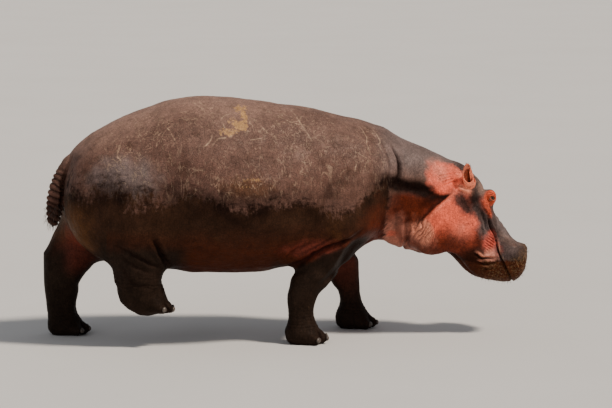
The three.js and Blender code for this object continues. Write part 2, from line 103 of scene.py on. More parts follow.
def strength(name, description, default):
    return FloatProperty(name=name, description=description, default=default, min=0.0)


def angle(name, description, degrees):
    return FloatProperty(name=name, description=description, default=math.radians(degrees), subtype="ANGLE")


def colour(name, description, default):
    return FloatVectorProperty(
        name=name, description=description, default=default, min=0.0, max=1.0, size=3, subtype="COLOR"
    )


class HippoShape(bpy.types.PropertyGroup):
    """Sizes that shape the skin and what grows from it."""

    cell: length("Skin cell", "Edge length of the skin's faces on the trunk", 0.008)
    quick_cell: length("Quick skin cell", "The same for a quick look", 0.012)
    fold_depth: share("Fold depth", "How deep the folds are, where 1 is life", 1.0)
    wrinkle_depth: length("Wrinkle depth", "Height of the fine wrinkles all over", 0.0016)
    eye_radius: length("Eye radius", "Radius of the eyeball", 0.0225)
    eye_slit_long: length("Eye slit length", "Half the length of the opening between the lids", 0.0165)
    eye_slit_high: length("Eye slit height", "Half the height of the opening between the lids", 0.012)
    lid: length("Lid", "Thickness of the eyelids", 0.0045)
    ear_height: length("Ear height", "From the root of the ear to its tip", 0.152)
    ear_width: length("Ear half width", "Half the width of the ear", 0.039)
    ear_wall: length("Ear wall", "Thickness of the ear's wall", 0.0085)
    nostril: length("Nostril", "Half the length of the nostril slit", 0.027)
    bristle: length("Bristle radius", "Radius of a bristle at its root", 0.0009)


class HippoColours(bpy.types.PropertyGroup):
    """Colours of the hide and of the other pieces."""

    # dry hide, lighter than the flank, which also gives painted top light
    dry: colour("Dry back", "Dry, dusty hide on the back", (0.15, 0.08, 0.06))
    # dust on the back, with painted top light, and painted reflections on the muzzle
    dust: colour("Dust", "Palest dust along the back", (0.275, 0.155, 0.115))
    flank: colour("Flank", "Hide on the upper flank", (0.125, 0.06, 0.043))
    # wet hide, whose darkness also stands for painted shade of the lower body
    wet: colour("Wet flank", "Dark, wet hide on the lower flank", (0.038, 0.016, 0.008))
    # reddish hide, darkened as painted shade under the belly
    belly: colour("Belly", "Reddish hide under the belly", (0.06, 0.013, 0.004))
    # dark wet hide, darkened further as painted shade
    leg: colour("Legs", "Dark hide of the legs", (0.0178, 0.011, 0.0074))
    tail: colour("Tail", "Pinkish brown hide of the tail", (0.125, 0.055, 0.038))
    # painted shade at the bottom of folds, pits and gaps
    fold: colour("Folds", "The bottom of a deep fold", (0.01, 0.004, 0.003))
    groin: colour("Groin", "Pink hide inside the thighs and elbows", (0.19, 0.032, 0.018))
    ochre: colour("Ochre", "Brownish yellow stain on the buttock and flank", (0.09, 0.034, 0.009))
    # a painted sheen
    slate: colour("Slate", "Bluish grey sheen on rump, neck and nose", (0.15, 0.108, 0.1))
    # dark patches, and painted shadow in hollows and along the waterline
    soot: colour("Soot", "Dark patches of the face and neck", (0.009, 0.004, 0.003))
    salmon: colour("Salmon", "Pink hide of cheek and nape", (0.93, 0.135, 0.064))
    # reddish hide, also laid as painted shade behind the jowl and low on the cheek
    rust: colour("Rust", "Reddish brown neck", (0.1, 0.014, 0.004))
    throat: colour("Throat", "Pink throat", (0.58, 0.21, 0.14))
    # wrinkled hide below the cheek, and painted highlights on ridges
    apricot: colour("Apricot", "Wrinkled yellow-pink hide below the cheek", (0.85, 0.29, 0.17))
    lid: colour("Lids", "Orange-red eyelids", (0.66, 0.085, 0.028))
    muzzle: colour("Muzzle", "Purplish grey muzzle", (0.07, 0.044, 0.039))
    mud: colour("Mud", "Drying mud on the tip of the muzzle", (0.12, 0.062, 0.024))
    olive: colour("Olive", "Olive mud on lips and chin", (0.03, 0.015, 0.003))
    jaw: colour("Jaw", "Dark underside of the lower jaw", (0.026, 0.007, 0.003))
    gum: colour("Mouth folds", "Pink folds at the corner of the mouth", (0.7, 0.11, 0.07))
    lip: colour("Lip edge", "Cream edge of the lip", (0.52, 0.35, 0.23))
    ear: colour("Ear", "Orange-pink ear", (0.93, 0.23, 0.12))
    ear_hollow: colour("Ear hollow", "Inside of the ear", (0.23, 0.036, 0.014))
    scar: colour("Scars", "Healed scratches and scars", (0.5, 0.33, 0.21))
    blemish: colour("Blemish", "Yellowish old sores", (0.45, 0.24, 0.088))
    iris: colour("Iris", "Brown iris", (0.05, 0.02, 0.008))
    nail: colour("Nails", "Horn of the nails", (0.06, 0.045, 0.035))
    bristle: colour("Bristles", "Stiff hairs", (0.035, 0.024, 0.018))


class HippoStage(bpy.types.PropertyGroup):
    """Camera, lamps and floor."""

    azimuth: angle("Azimuth", "Camera's turn round the animal", -8)
    elevation: angle("Elevation", "Camera's angle above level", 7)
    distance: length("Distance", "From the camera to the middle of the view", 21.9)
    lens: FloatProperty(name="Lens", description="Focal length", default=199.7, min=1.0, unit="CAMERA")
    look_right: length("Look right", "Middle of the view, right of the origin", 0.116)
    look_up: length("Look up", "Middle of the view, above the origin", 0.852)
    sun: strength("Key light", "Strength of the warm key light", 4.3)
    sky: strength("Room light", "Strength of the light all round", 0.42)
    floor: colour("Floor", "Plain floor", (0.62, 0.6, 0.58))


class HippoSettings(bpy.types.PropertyGroup):
    """Everything that a user may change."""

    shape: PointerProperty(type=HippoShape)
    colours: PointerProperty(type=HippoColours)
    stage: PointerProperty(type=HippoStage)


def settings():
    return bpy.context.scene.hippo


# ---------------------------------------------------------------- places on the animal


def middle(node):
    low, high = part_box(node)
    return (low + high) / 2


def eye_at(side):
    return np.array(middle(f"eye_{SIDE_NAMES[side]}"))


def unit(vector):
    return vector / np.linalg.norm(vector)


HEAD_PITCH = math.radians(52)
EYES_BEHIND = 0.024            # the eyes stand this far behind the origin of the head's own axes


def head_axes():
    """The head's origin and its forward, left and up directions, from where the eyes are."""
    eyes = {side: middle(f"eye_{name}") for side, name in SIDE_NAMES.items()}
    left = (eyes[LEFT] - eyes[RIGHT]).normalized()
    level = Vector((math.cos(HEAD_PITCH), 0, -math.sin(HEAD_PITCH)))
    forward = (level - left * level.dot(left)).normalized()
    origin = (eyes[LEFT] + eyes[RIGHT]) / 2 + forward * EYES_BEHIND
    return [np.array(v) for v in (origin, forward, left, forward.cross(left))]


HEAD_ORIGIN, HEAD_FORWARD, HEAD_LEFT, HEAD_UP = head_axes()


def on_head(side, *places):
    """Points given in millimetres on the head's own axes (forward, outward, up), on one side."""
    axes = np.array([HEAD_FORWARD, side * HEAD_LEFT, HEAD_UP])
    return HEAD_ORIGIN + np.array(places, float) / 1000 @ axes


def on_side(side, *places):
    """Points (x, outward, z) in metres on one side of the body."""
    return np.array(places, float) * np.array([1, side, 1])


def in_head(points, side=LEFT):
    """Points in the head's own axes, in millimetres: forward, outward on that side, up."""
    rel = (points - HEAD_ORIGIN) * 1000
    return rel @ HEAD_FORWARD, side * (rel @ HEAD_LEFT), rel @ HEAD_UP


# ---------------------------------------------------------------- numbers for clay


def smooth(low, high, value):
    """0 below low, 1 above high, and an even S between them."""
    t = np.clip((value - low) / (high - low), 0, 1)
    return t * t * (3 - 2 * t)


NOISE_CELLS = 64                # the random values repeat after this many cells


@functools.lru_cache(maxsize=None)
def random_cells(seed):
    """Steady random numbers from -1 to 1 for the corners of a grid."""
    return np.random.default_rng(seed).uniform(-1, 1, NOISE_CELLS**3).astype(np.float32)


def grain(points, size, seed=0):
    """Smooth random values from -1 to 1 over space, with features about size wide."""
    place = points / size
    corner = np.floor(place)
    part = (place - corner).astype(np.float32)
    part = part * part * (3 - 2 * part)
    low = corner.astype(np.int64) % NOISE_CELLS
    high = (low + 1) % NOISE_CELLS
    cells = random_cells(seed)
    planes = []
    for x in (low[:, 0], high[:, 0]):
        lines = []
        for y in (low[:, 1], high[:, 1]):
            row = (x * NOISE_CELLS + y) * NOISE_CELLS
            first, second = cells[row + low[:, 2]], cells[row + high[:, 2]]
            lines.append(first + (second - first) * part[:, 2])
        planes.append(lines[0] + (lines[1] - lines[0]) * part[:, 1])
    return (planes[0] + (planes[1] - planes[0]) * part[:, 0]).astype(float)


def rough(points, size, seed=0, layers=3):
    """Several grains on top of each other, each half as wide and half as strong."""
    total = sum(grain(points, size / 2**i, seed + i) / 2**i for i in range(layers))
    return total / (2 - 2 / 2**layers)


def curve_through(points, steps=24):
    """A smooth curve through a few points."""
    points = np.asarray(points, float)
    if len(points) < 3:
        t = np.linspace(0, 1, steps)[:, None]
        return points[0] * (1 - t) + points[-1] * t
    ends = np.vstack([2 * points[0] - points[1], points, 2 * points[-1] - points[-2]])
    out = []
    for i in range(len(points) - 1):
        a, b, c, d = ends[i:i + 4]
        for t in np.linspace(0, 1, max(2, steps // (len(points) - 1)), endpoint=False):
            out.append(0.5 * (2 * b + (c - a) * t + (2 * a - 5 * b + 4 * c - d) * t**2
                              + (3 * b - a - 3 * c + d) * t**3))
    out.append(points[-1])
    return np.array(out)


def tapered(place, power):
    """Nearly 0 at both ends of a path and 1 in its middle, where place runs from 0 to 1."""
    return np.sin(np.pi * np.clip(place, 0.01, 0.99)) ** power


def hump(value, width):
    """1 where a value is 0, and nearly 0 where it is more than twice the width."""
    return np.exp(-((value / width) ** 2))


FAR_OFF = 9.0                  # farther than any two points of the animal are apart


def to_path(points, path):
    """Distance of each point from a path, and how far along the path that is, from 0 to 1."""
    best = np.full(len(points), FAR_OFF)
    place = np.zeros(len(points))
    steps = np.linalg.norm(np.diff(path, axis=0), axis=1)
    before = 0.0
    for a, b, step in zip(path, path[1:], steps):
        t = np.clip((points - a) @ (b - a) / max(step * step, 1e-12), 0, 1)
        gap = np.linalg.norm(points - a - t[:, None] * (b - a), axis=1)
        closer = gap < best
        best = np.where(closer, gap, best)
        place = np.where(closer, (before + t * step) / steps.sum(), place)
        before += step
    return best, place


def within(points, box, margin=0.0):
    """Which points lie inside a box that is grown by a margin."""
    low, high = box
    return ((points > np.array(low) - margin) & (points < np.array(high) + margin)).all(axis=1)


def edges_of(mesh):
    """The two ends of each edge of a mesh."""
    edges = np.empty(len(mesh.edges) * 2, np.int32)
    mesh.edges.foreach_get("vertices", edges)
    return edges.reshape(-1, 2)


def points_of(mesh):
    flat = np.empty(len(mesh.vertices) * 3)
    mesh.vertices.foreach_get("co", flat)
    return flat.reshape(-1, 3)


STRAY = 0.08                   # no point moves farther than this along x while it is shaped
SNAP_REACH = 0.06              # the skin lies nearer than this to every place that is snapped to it
DEEP_FOLD = 0.012              # a groove of this depth gets full painted shade at its bottom


class Clay:
    """A mesh's points, neighbours and normals, the painted shade of each in a fold and how deep in an ear it
    lies.
    """

    def __init__(self, mesh):
        self.mesh = mesh
        self.points = points_of(mesh)
        count = len(self.points)
        self.fold = np.zeros(count)
        self.ear = np.zeros(count)
        edges = edges_of(mesh)
        self.ends = np.concatenate([edges[:, 0], edges[:, 1]])
        self.others = np.concatenate([edges[:, 1], edges[:, 0]])
        self.degree = np.maximum(np.bincount(self.ends, minlength=count), 1)
        mesh.calc_loop_triangles()
        corners = np.empty(len(mesh.loop_triangles) * 3, np.int32)
        mesh.loop_triangles.foreach_get("vertices", corners)
        self.triangles = corners.reshape(-1, 3)
        self.find_normals()
        self.by_x = self.points[:, 0].argsort()
        self.sorted_x = self.points[self.by_x, 0].copy()

    def sums(self, index, values, columns):
        count = len(self.points)
        return np.stack([np.bincount(index, values[:, k], count) for k in range(columns)], axis=1)

    def find_normals(self):
        a, b, c = (self.points[self.triangles[:, k]] for k in range(3))
        face = np.cross(b - a, c - a)
        total = sum(self.sums(self.triangles[:, k], face, 3) for k in range(3))
        self.normals = total / np.maximum(np.linalg.norm(total, axis=1), 1e-12)[:, None]

    def averaged(self, values):
        """Each value replaced by the mean of its neighbours'."""
        if values.ndim == 1:
            return np.bincount(self.ends, values[self.others], len(values)) / self.degree
        return self.sums(self.ends, values[self.others], 3) / self.degree[:, None]

    def spread(self, values, turns):
        for _ in range(turns):
            values = self.averaged(values)
        return values

    def melted(self, values, strength, turns):
        """Values evened out over the skin, more where strength is more."""
        for _ in range(turns):
            values = values + strength[:, None] * (self.averaged(values) - values)
        return values

    def relax(self, strength, turns, hold=True):
        """Evens out the skin. With hold, what shrinks by that is given back."""
        if np.isscalar(strength):
            strength = np.full(len(self.points), strength)
        even = self.melted(self.points, strength, turns)
        if hold:
            even = even + self.melted(self.points - even, strength, turns)
        self.points = even
        self.find_normals()

    def soften(self, index, strength, turns):
        """Evens out the skin at some points and close round them."""
        soft = np.zeros(len(self.points))
        soft[index] = strength
        self.relax(self.spread(soft, 3), turns, hold=False)

    def near(self, low, high):
        """The points inside a box, found among those that began near its range of x."""
        first, last = np.searchsorted(self.sorted_x, (low[0] - STRAY, high[0] + STRAY))
        index = self.by_x[first:last]
        points = self.points[index]
        return index[((points > low) & (points < high)).all(axis=1)]

    def around(self, places, margin):
        """The points within a margin of the box round one or more places."""
        places = np.atleast_2d(places)
        return self.near(places.min(axis=0) - margin, places.max(axis=0) + margin)

    def snapped(self, places):
        """The points of the skin nearest to some places."""
        places = np.asarray(places, float)
        index = self.around(places, SNAP_REACH)
        if not len(index):
            return places
        points = self.points[index]
        out = [points[((points - place) ** 2).sum(axis=1).argmin()] for place in places]
        return np.array(out)

    def darken(self, index, amount):
        """Marks painted shade on points that lie in a fold."""
        self.fold[index] = np.maximum(self.fold[index], amount)

    def crease(self, places, width, depth, rim=0.35, blunt=0.5, shade=1.0):
        """Presses a groove along a path, with a low rim on both sides, and paints shade in the groove."""
        depth *= settings().shape.fold_depth
        path = self.snapped(curve_through(places))
        index = self.around(path, 4 * width)
        gap, place = to_path(self.points[index], path)
        taper = tapered(place, blunt)
        groove = hump(gap, width)
        profile = groove - rim * hump(gap - 2.1 * width, 0.9 * width)
        self.points[index] -= self.normals[index] * (depth * profile * taper)[:, None]
        dark = np.clip(depth / DEEP_FOLD, 0, 1) * shade
        self.darken(index, np.exp(-((gap / width) ** 2) * 1.5) * taper * dark)

    def ledge(self, places, toward, width, height, reach, blunt=0.5, shade=0.8):
        """A step along a path: raised on the side that toward points to, pressed on the other."""
        path = self.snapped(curve_through(places))
        index = self.around(path, 3 * reach)
        points = self.points[index]
        gap, place = to_path(points, path)
        nearest = path[0] + 0 * points
        best = np.full(len(points), FAR_OFF)
        for spot in path:
            far = np.linalg.norm(points - spot, axis=1)
            closer = far < best
            nearest[closer] = spot
            best = np.minimum(best, far)
        signed = gap * np.sign((points - nearest) @ toward)
        taper = tapered(place, blunt) * hump(gap, reach)
        self.points[index] += self.normals[index] * (height * np.tanh(signed / width) * taper)[:, None]
        # painted shade on the pressed side of the step
        self.darken(index, hump(signed + 1.2 * width, 1.5 * width) * taper * shade)

    def swell(self, place, radii, height):
        """Raises a soft mound round a place, or presses a hollow where height is negative."""
        radii = np.array(radii)
        index = self.around(place, 2.5 * radii)
        gap = np.linalg.norm((self.points[index] - place) / radii, axis=1)
        self.points[index] += self.normals[index] * (height * np.exp(-gap * gap))[:, None]

    def pleats(self, place, radius, across, pitch, depth, wander=0.3, seed=5, shade=0.7):
        """Presses even folds that follow each other in the direction across, with painted shade in each."""
        across = unit(across)
        index = self.around(place, 1.6 * radius)
        points = self.points[index]
        gap = np.linalg.norm(points - place, axis=1) / radius
        mask = 1 - smooth(0.45, 1.15, gap + 0.25 * rough(points, radius * 0.6, seed))
        turns = (points - place) @ across / pitch + wander * rough(points, pitch * 3, seed + 7) * 2
        wave = np.abs(np.sin(np.pi * turns)) ** 0.7
        self.points[index] += self.normals[index] * (depth * (wave - 0.6) * mask)[:, None]
        self.darken(index, (1 - wave) ** 2 * mask * shade)

    def write(self):
        self.mesh.vertices.foreach_set("co", self.points.ravel())
        self.mesh.update()


# ---------------------------------------------------------------- mesh helpers


def add_object(name, mesh):
    piece = bpy.data.objects.new(name, mesh)
    bpy.context.scene.collection.objects.link(piece)
    return piece


def mesh_of(name, points, faces):
    mesh = bpy.data.meshes.new(name)
    mesh.from_pydata([tuple(p) for p in points], [], [tuple(f) for f in faces])
    mesh.update()
    return mesh


def finish_piece(piece, material, slot_name, *nodes):
    """Hands a piece over to the frame: it rides on the root, gets its finish, and hides the nodes it
    replaces.
    """
    if not piece.data.materials:
        piece.data.materials.append(material)
    piece.data.polygons.foreach_set("use_smooth", [True] * len(piece.data.polygons))
    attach(piece, "root")
    if nodes:
        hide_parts(*nodes)


def with_modifier(piece, kind, **values):
    """The piece's mesh after one modifier, which is then gone again."""
    modifier = piece.modifiers.new(kind.title(), kind)
    for key, value in values.items():
        setattr(modifier, key, value)
    shaped = bpy.data.meshes.new_from_object(piece.evaluated_get(bpy.context.evaluated_depsgraph_get()))
    piece.modifiers.clear()
    return shaped


WELD = 0.00005                 # the frame's meshes repeat their corners at every sharp edge
OVERLAP = 0.0006               # more than half of the cuts between the solids


def joined_flesh(nodes):
    """The solids of the flesh in one mesh, each grown by OVERLAP so that they touch."""
    whole = bmesh.new()
    for node in nodes:
        part = bmesh.new()
        part.from_mesh(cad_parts[node].data)
        bmesh.ops.remove_doubles(part, verts=part.verts, dist=WELD)
        part.normal_update()
        for vert in part.verts:
            vert.co += vert.normal * OVERLAP
        grown = bpy.data.meshes.new(node)
        part.to_mesh(grown)
        part.free()
        whole.from_mesh(grown)
        bpy.data.meshes.remove(grown)
    mesh = bpy.data.meshes.new("flesh")
    whole.to_mesh(mesh)
    whole.free()
    return mesh


def drop_small_shells(mesh):
    """Keeps the largest connected shell of a mesh."""
    edges = edges_of(mesh)
    label = np.arange(len(mesh.vertices))
    while True:
        lowest = label.copy()
        np.minimum.at(lowest, edges[:, 0], label[edges[:, 1]])
        np.minimum.at(lowest, edges[:, 1], label[edges[:, 0]])
        lowest = lowest[lowest]
        if (lowest == label).all():
            break
        label = lowest
    main = np.bincount(label).argmax()
    if (label == main).all():
        return
    shell = bmesh.new()
    shell.from_mesh(mesh)
    shell.verts.ensure_lookup_table()
    strays = [shell.verts[i] for i in np.flatnonzero(label != main)]
    bmesh.ops.delete(shell, geom=strays, context="VERTS")
    shell.to_mesh(mesh)
    shell.free()


def refine(mesh, chosen):
    """Splits every face whose corners are all chosen into four."""
    fine = bmesh.new()
    fine.from_mesh(mesh)
    edges = [e for e in fine.edges if chosen[e.verts[0].index] and chosen[e.verts[1].index]]
    bmesh.ops.subdivide_edges(fine, edges=edges, cuts=1, use_grid_fill=True)
    fine.to_mesh(mesh)
    fine.free()


# ---------------------------------------------------------------- the skin: form

# How far the facets of the solids are evened out, by region: the reach of the smoothing.
FACET_REACH = {
    "trunk": 0.054,
    "neck": 0.042,
    "head": 0.02,
    "leg": 0.028,
    "foot": 0.015,
    "toe": 0.007,
    "tail": 0.012,
}
RELAX_TURNS = 110
# Planes across the body where the head and the neck begin: a point on each, and how far it leans back.
HEAD_PLANE = (np.array([0.977, 0, 0.86]), math.radians(22.7))
NECK_PLANE = (np.array([0.585, 0, 0.97]), math.radians(3))


def ahead(points, plane):
    """Distance in front of a plane across the body that leans back."""
    at, lean = plane
    return (points - at) @ np.array([math.cos(lean), 0, -math.sin(lean)])


def facet_strength(clay, cell):
    """How strongly each point is evened out in one turn."""
    points = clay.points
    reach = np.full(len(points), FACET_REACH["trunk"])
    reach[ahead(points, NECK_PLANE) > 0] = FACET_REACH["neck"]
    reach[ahead(points, HEAD_PLANE) > 0] = FACET_REACH["head"]
    for leg in LEG_NAMES:
        reach[within(points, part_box(f"leg_{leg}"), 0.02)] = FACET_REACH["leg"]
        reach[within(points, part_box(f"foot_{leg}"), 0.02)] = FACET_REACH["foot"]
        for toe in range(1, TOES_PER_FOOT + 1):
            reach[within(points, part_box(f"nail_{leg}_{toe}"), 0.03)] = FACET_REACH["toe"]
    reach[within(points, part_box("tail"), 0.004) & (np.abs(points[:, 1]) < 0.06)] = FACET_REACH["tail"]
    reach = clay.spread(reach, 8)
    return np.minimum(2 * reach**2 / (cell**2 * RELAX_TURNS), 0.95)


def base_skin(cell):
    """The joined flesh as one even skin without facets."""
    flesh = add_object("flesh", joined_flesh(EARLESS))
    mesh = with_modifier(flesh, "REMESH", mode="VOXEL", voxel_size=cell)
    bpy.data.objects.remove(flesh)
    drop_small_shells(mesh)
    clay = Clay(mesh)
    clay.relax(facet_strength(clay, cell), RELAX_TURNS)
    clay.write()
    return mesh


NOSTRIL_AT = (398, 92, 6)      # these places are on the head's own axes, in millimetres
MOUTH_CORNER_AT = (212, 150, -178)
EAR_AT = (-192, 160, -54)
EYE_ZONE = 0.062               # within these distances of each the skin has finer faces
NOSTRIL_ZONE = 0.045
MOUTH_ZONE = 0.075
EAR_ZONE = 0.066
LID_ZONE = 0.036               # within these it has the finest
EAR_DISC = 0.047               # radius of the patch of skin that is drawn out into an ear
EAR_RIM_ZONE = EAR_DISC + 0.006


def refine_face(mesh):
    """Makes the faces of head, feet and tail finer, and those of eyes, ears and mouth finer still."""
    points = points_of(mesh)
    chosen = ahead(points, HEAD_PLANE) > -0.16
    for leg in LEG_NAMES:
        chosen |= within(points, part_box(f"foot_{leg}"), 0.01)
    chosen |= within(points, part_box("tail"), 0.01) & (np.abs(points[:, 1]) < 0.07)
    for _, path in SCARS:
        for side in SIDE_NAMES:
            places = curve_through(on_side(side, *path), SCAR_STEPS)
            around = np.flatnonzero(within(points, (places.min(axis=0), places.max(axis=0)), 0.07))
            gap, _ = to_path(points[around], places)
            chosen[around[gap < 0.04]] = True
    refine(mesh, chosen)
    points = points_of(mesh)
    chosen = np.zeros(len(points), bool)
    for side in SIDE_NAMES:
        zones = [
            (eye_at(side), EYE_ZONE),
            (on_head(side, NOSTRIL_AT)[0], NOSTRIL_ZONE),
            (on_head(side, MOUTH_CORNER_AT)[0], MOUTH_ZONE),
            (on_head(side, EAR_AT)[0], EAR_ZONE),
        ]
        for place, reach in zones:
            chosen |= np.linalg.norm(points - place, axis=1) < reach
    refine(mesh, chosen)
    points = points_of(mesh)
    chosen = np.zeros(len(points), bool)
    for side in SIDE_NAMES:
        chosen |= np.linalg.norm(points - on_head(side, EAR_AT)[0], axis=1) < EAR_RIM_ZONE
        chosen |= np.linalg.norm(points - eye_at(side), axis=1) < LID_ZONE
    refine(mesh, chosen)


LEG_SHIFT = {                  # how far the left leg of each pair stands ahead of the right one
    "front": 0.302,
    "hind": -0.324,
    None: 0.0,                 # the trunk has no such shift
}


def by_leg(pair, side, *places):
    """Points (x, outward, z) given for the right leg of a pair, moved to the leg of that side."""
    places = on_side(side, *places)
    if side == LEFT:
        places[:, 0] += LEG_SHIFT[pair] * smooth(0.86, 0.5, places[:, 2])
    return places


MIDDLE_MOUNDS = (              # mounds, and hollows where the height is negative: place, radii, height
    ((-1.33, 0, 1.3), (0.15, 0.3, 0.15), 0.014),
    ((-1.385, 0, 1.195), (0.08, 0.12, 0.1), 0.022),
    ((1.11, 0, 1.075), (0.1, 0.16, 0.07), 0.019),
    ((1.24, 0, 0.975), (0.09, 0.13, 0.07), 0.016),
    ((1.36, 0, 0.74), (0.08, 0.1, 0.08), 0.01),
    ((0.5, 0.12, 0.555), (0.09, 0.34, 0.05), -0.03),
    ((-1.17, 0.2, 0.51), (0.09, 0.15, 0.05), 0.016),
    ((0.63, 0, 1.35), (0.13, 0.22, 0.09), -0.008),
    ((0.34, 0, 1.44), (0.2, 0.34, 0.12), -0.024),
)
SIDE_MOUNDS = (                # on both sides: the pair of legs that they move with, then the same
    (None, (-1.15, 0.42, 1.12), (0.16, 0.12, 0.12), 0.012),
    (None, (-0.76, 0.52, 1.02), (0.15, 0.15, 0.2), -0.014),
    (None, (-0.98, 0.46, 0.86), (0.16, 0.12, 0.13), 0.01),
    (None, (0.42, 0.4, 1.08), (0.13, 0.12, 0.2), 0.014),
    (None, (0.12, 0.48, 0.9), (0.1, 0.12, 0.2), -0.01),
    (None, (0.665, 0.08, 0.612), (0.07, 0.15, 0.055), 0.022),
    (None, (0.915, 0.11, 0.56), (0.12, 0.14, 0.07), 0.013),
    ("front", (0.29, 0.45, 0.76), (0.13, 0.12, 0.1), 0.012),
    ("hind", (-0.96, 0.45, 0.66), (0.12, 0.12, 0.1), 0.01),
    ("hind", (-1.02, 0.42, 0.47), (0.07, 0.09, 0.06), 0.012),
)
SIDE_FOLDS = (                 # the pair of legs, width, depth, other values, places (x, outward, z)
    # where the thigh meets the belly, and the folds above the knee
    ("hind", 0.014, 0.024, {},
     (-0.918, 0.475, 0.715), (-0.888, 0.458, 0.659), (-0.833, 0.381, 0.56), (-0.8, 0.335, 0.515)),
    ("hind", 0.011, 0.01, {},
     (-1.14, 0.44, 0.665), (-1.071, 0.455, 0.633), (-0.955, 0.448, 0.562), (-0.862, 0.378, 0.521)),
    ("hind", 0.011, 0.006, {}, (-1.12, 0.44, 0.6), (-1.0, 0.44, 0.52), (-0.9, 0.4, 0.478)),
    ("hind", 0.011, 0.006, {}, (-1.13, 0.43, 0.53), (-1.04, 0.42, 0.43), (-0.93, 0.4, 0.395)),
    # where the foreleg leaves the chest
    ("front", 0.016, 0.026, {},
     (0.44, 0.43, 0.74), (0.335, 0.445, 0.676), (0.2, 0.436, 0.632), (0.111, 0.406, 0.585),
     (0.021, 0.33, 0.515), (-0.03, 0.27, 0.48)),
    ("front", 0.011, 0.008, {}, (0.24, 0.46, 0.7), (0.12, 0.44, 0.635), (0.03, 0.4, 0.582)),
    ("front", 0.011, 0.006, {}, (0.1, 0.46, 0.66), (0.0, 0.42, 0.6), (-0.06, 0.37, 0.545)),
    # the edge of the shoulder against the neck
    (None, 0.013, 0.015, {},
     (0.62, 0.17, 1.23), (0.665, 0.225, 1.15), (0.681, 0.261, 1.09), (0.66, 0.29, 1.03),
     (0.638, 0.309, 0.975)),
    (None, 0.02, 0.01, {"shade": 0.3},
     (0.605, 0.33, 0.95), (0.585, 0.325, 0.84), (0.565, 0.26, 0.72), (0.56, 0.15, 0.64)),
    (None, 0.012, 0.006, {}, (0.56, 0.2, 1.24), (0.59, 0.27, 1.13), (0.585, 0.32, 1.04)),
    # throat folds
    (None, 0.014, 0.024, {"shade": 0.25},
     (0.735, 0.245, 0.8), (0.738, 0.231, 0.745), (0.748, 0.19, 0.67), (0.757, 0.12, 0.612),
     (0.76, 0.0, 0.6)),
    (None, 0.012, 0.006, {}, (0.66, 0.28, 0.84), (0.668, 0.23, 0.75), (0.675, 0.15, 0.66)),
    # across the ribs and belly
    (None, 0.018, 0.004, {"shade": 0.3}, (-0.55, 0.56, 0.72), (-0.535, 0.5, 0.62), (-0.53, 0.38, 0.545)),
    (None, 0.018, 0.004, {"shade": 0.3}, (-0.32, 0.56, 0.72), (-0.305, 0.5, 0.62), (-0.3, 0.38, 0.545)),
    (None, 0.018, 0.004, {"shade": 0.3}, (-0.1, 0.56, 0.72), (-0.085, 0.5, 0.62), (-0.08, 0.38, 0.545)),
)


def press_trunk(clay):
    """Broad forms and folds of trunk and neck."""
    for place, radii, height in MIDDLE_MOUNDS:
        clay.swell(np.array(place), radii, height)
    for side in SIDE_NAMES:
        for pair, place, radii, height in SIDE_MOUNDS:
            clay.swell(by_leg(pair, side, place)[0], radii, height)
    clay.find_normals()
    for side in SIDE_NAMES:
        for pair, width, depth, look, *places in SIDE_FOLDS:
            clay.crease(by_leg(pair, side, *places), width, depth, **look)


LEG_EDGES = (                  # side, then x at the edge that moves and where it stops, heights, moves
    (RIGHT, 0.0, 0.09, (0.16, 0.26, 0.42, 0.52), (0, -0.018, -0.018, 0)),
    (LEFT, 0.37, 0.51, (0.18, 0.25, 0.28, 0.38, 0.46, 0.6), (0, -0.024, -0.045, -0.072, -0.072, 0)),
    (RIGHT, -1.19, -1.06, (0.26, 0.34, 0.5, 0.58), (0, 0.021, 0.021, 0)),
    (LEFT, -1.47, -1.36, (0.1, 0.2, 0.53, 0.62), (0, -0.013, -0.017, 0)),
    (LEFT, -1.27, -1.4, (0.1, 0.22, 0.33, 0.43), (0, -0.022, -0.038, 0)),
)


def shift_legs(clay):
    """Moves single edges of the legs, which makes a leg thinner, thicker or more slanting."""
    for side, at, stop, heights, moves in LEG_EDGES:
        x, y, z = clay.points.T
        here = smooth(0.04, 0.09, side * y) * smooth(0.24, 0.14, np.abs(x - at))
        amount = np.clip((stop - x) / (stop - at), 0, 1.0) * here
        clay.points[:, 0] = x + amount * np.interp(z, heights, moves, 0, 0)
    clay.find_normals()


def free_foreleg(clay):
    """The right foreleg trails, so its front edge stands clear of the chest ahead of it."""
    index = clay.near(np.array([0.08, -0.6, 0.36]), np.array([0.64, -0.12, 0.76]))
    x, y, z = clay.points[index].T
    edge = np.interp(z, (0.38, 0.495, 0.672), (0.115, 0.228, 0.325))
    depth = 0.095 * smooth(0.0, 0.075, x - edge) * smooth(0.36, 0.45, z) * smooth(0.74, 0.62, z)
    depth *= smooth(0.62, 0.46, x) * smooth(-0.12, -0.26, y)
    clay.points[index, 1] += depth
    # painted shade in the hollow between the leg's front edge and the chest
    clay.darken(index, 0.6 * smooth(0.03, 0.085, depth))
    clay.soften(index, 0.5 * (depth > 0.004), 8)


TAIL_RING = 0.038              # from one ring of wrinkles to the next
TAIL_RING_DEPTH = 0.012
TAIL_EDGE = (                  # where the tail's edge lies on the buttocks (x, outward, z)
    (-1.365, 0.062, 1.185), (-1.405, 0.07, 1.115), (-1.436, 0.05, 1.035),
    (-1.447, 0.04, 0.95), (-1.448, 0.034, 0.86), (-1.455, 0.028, 0.8),
)


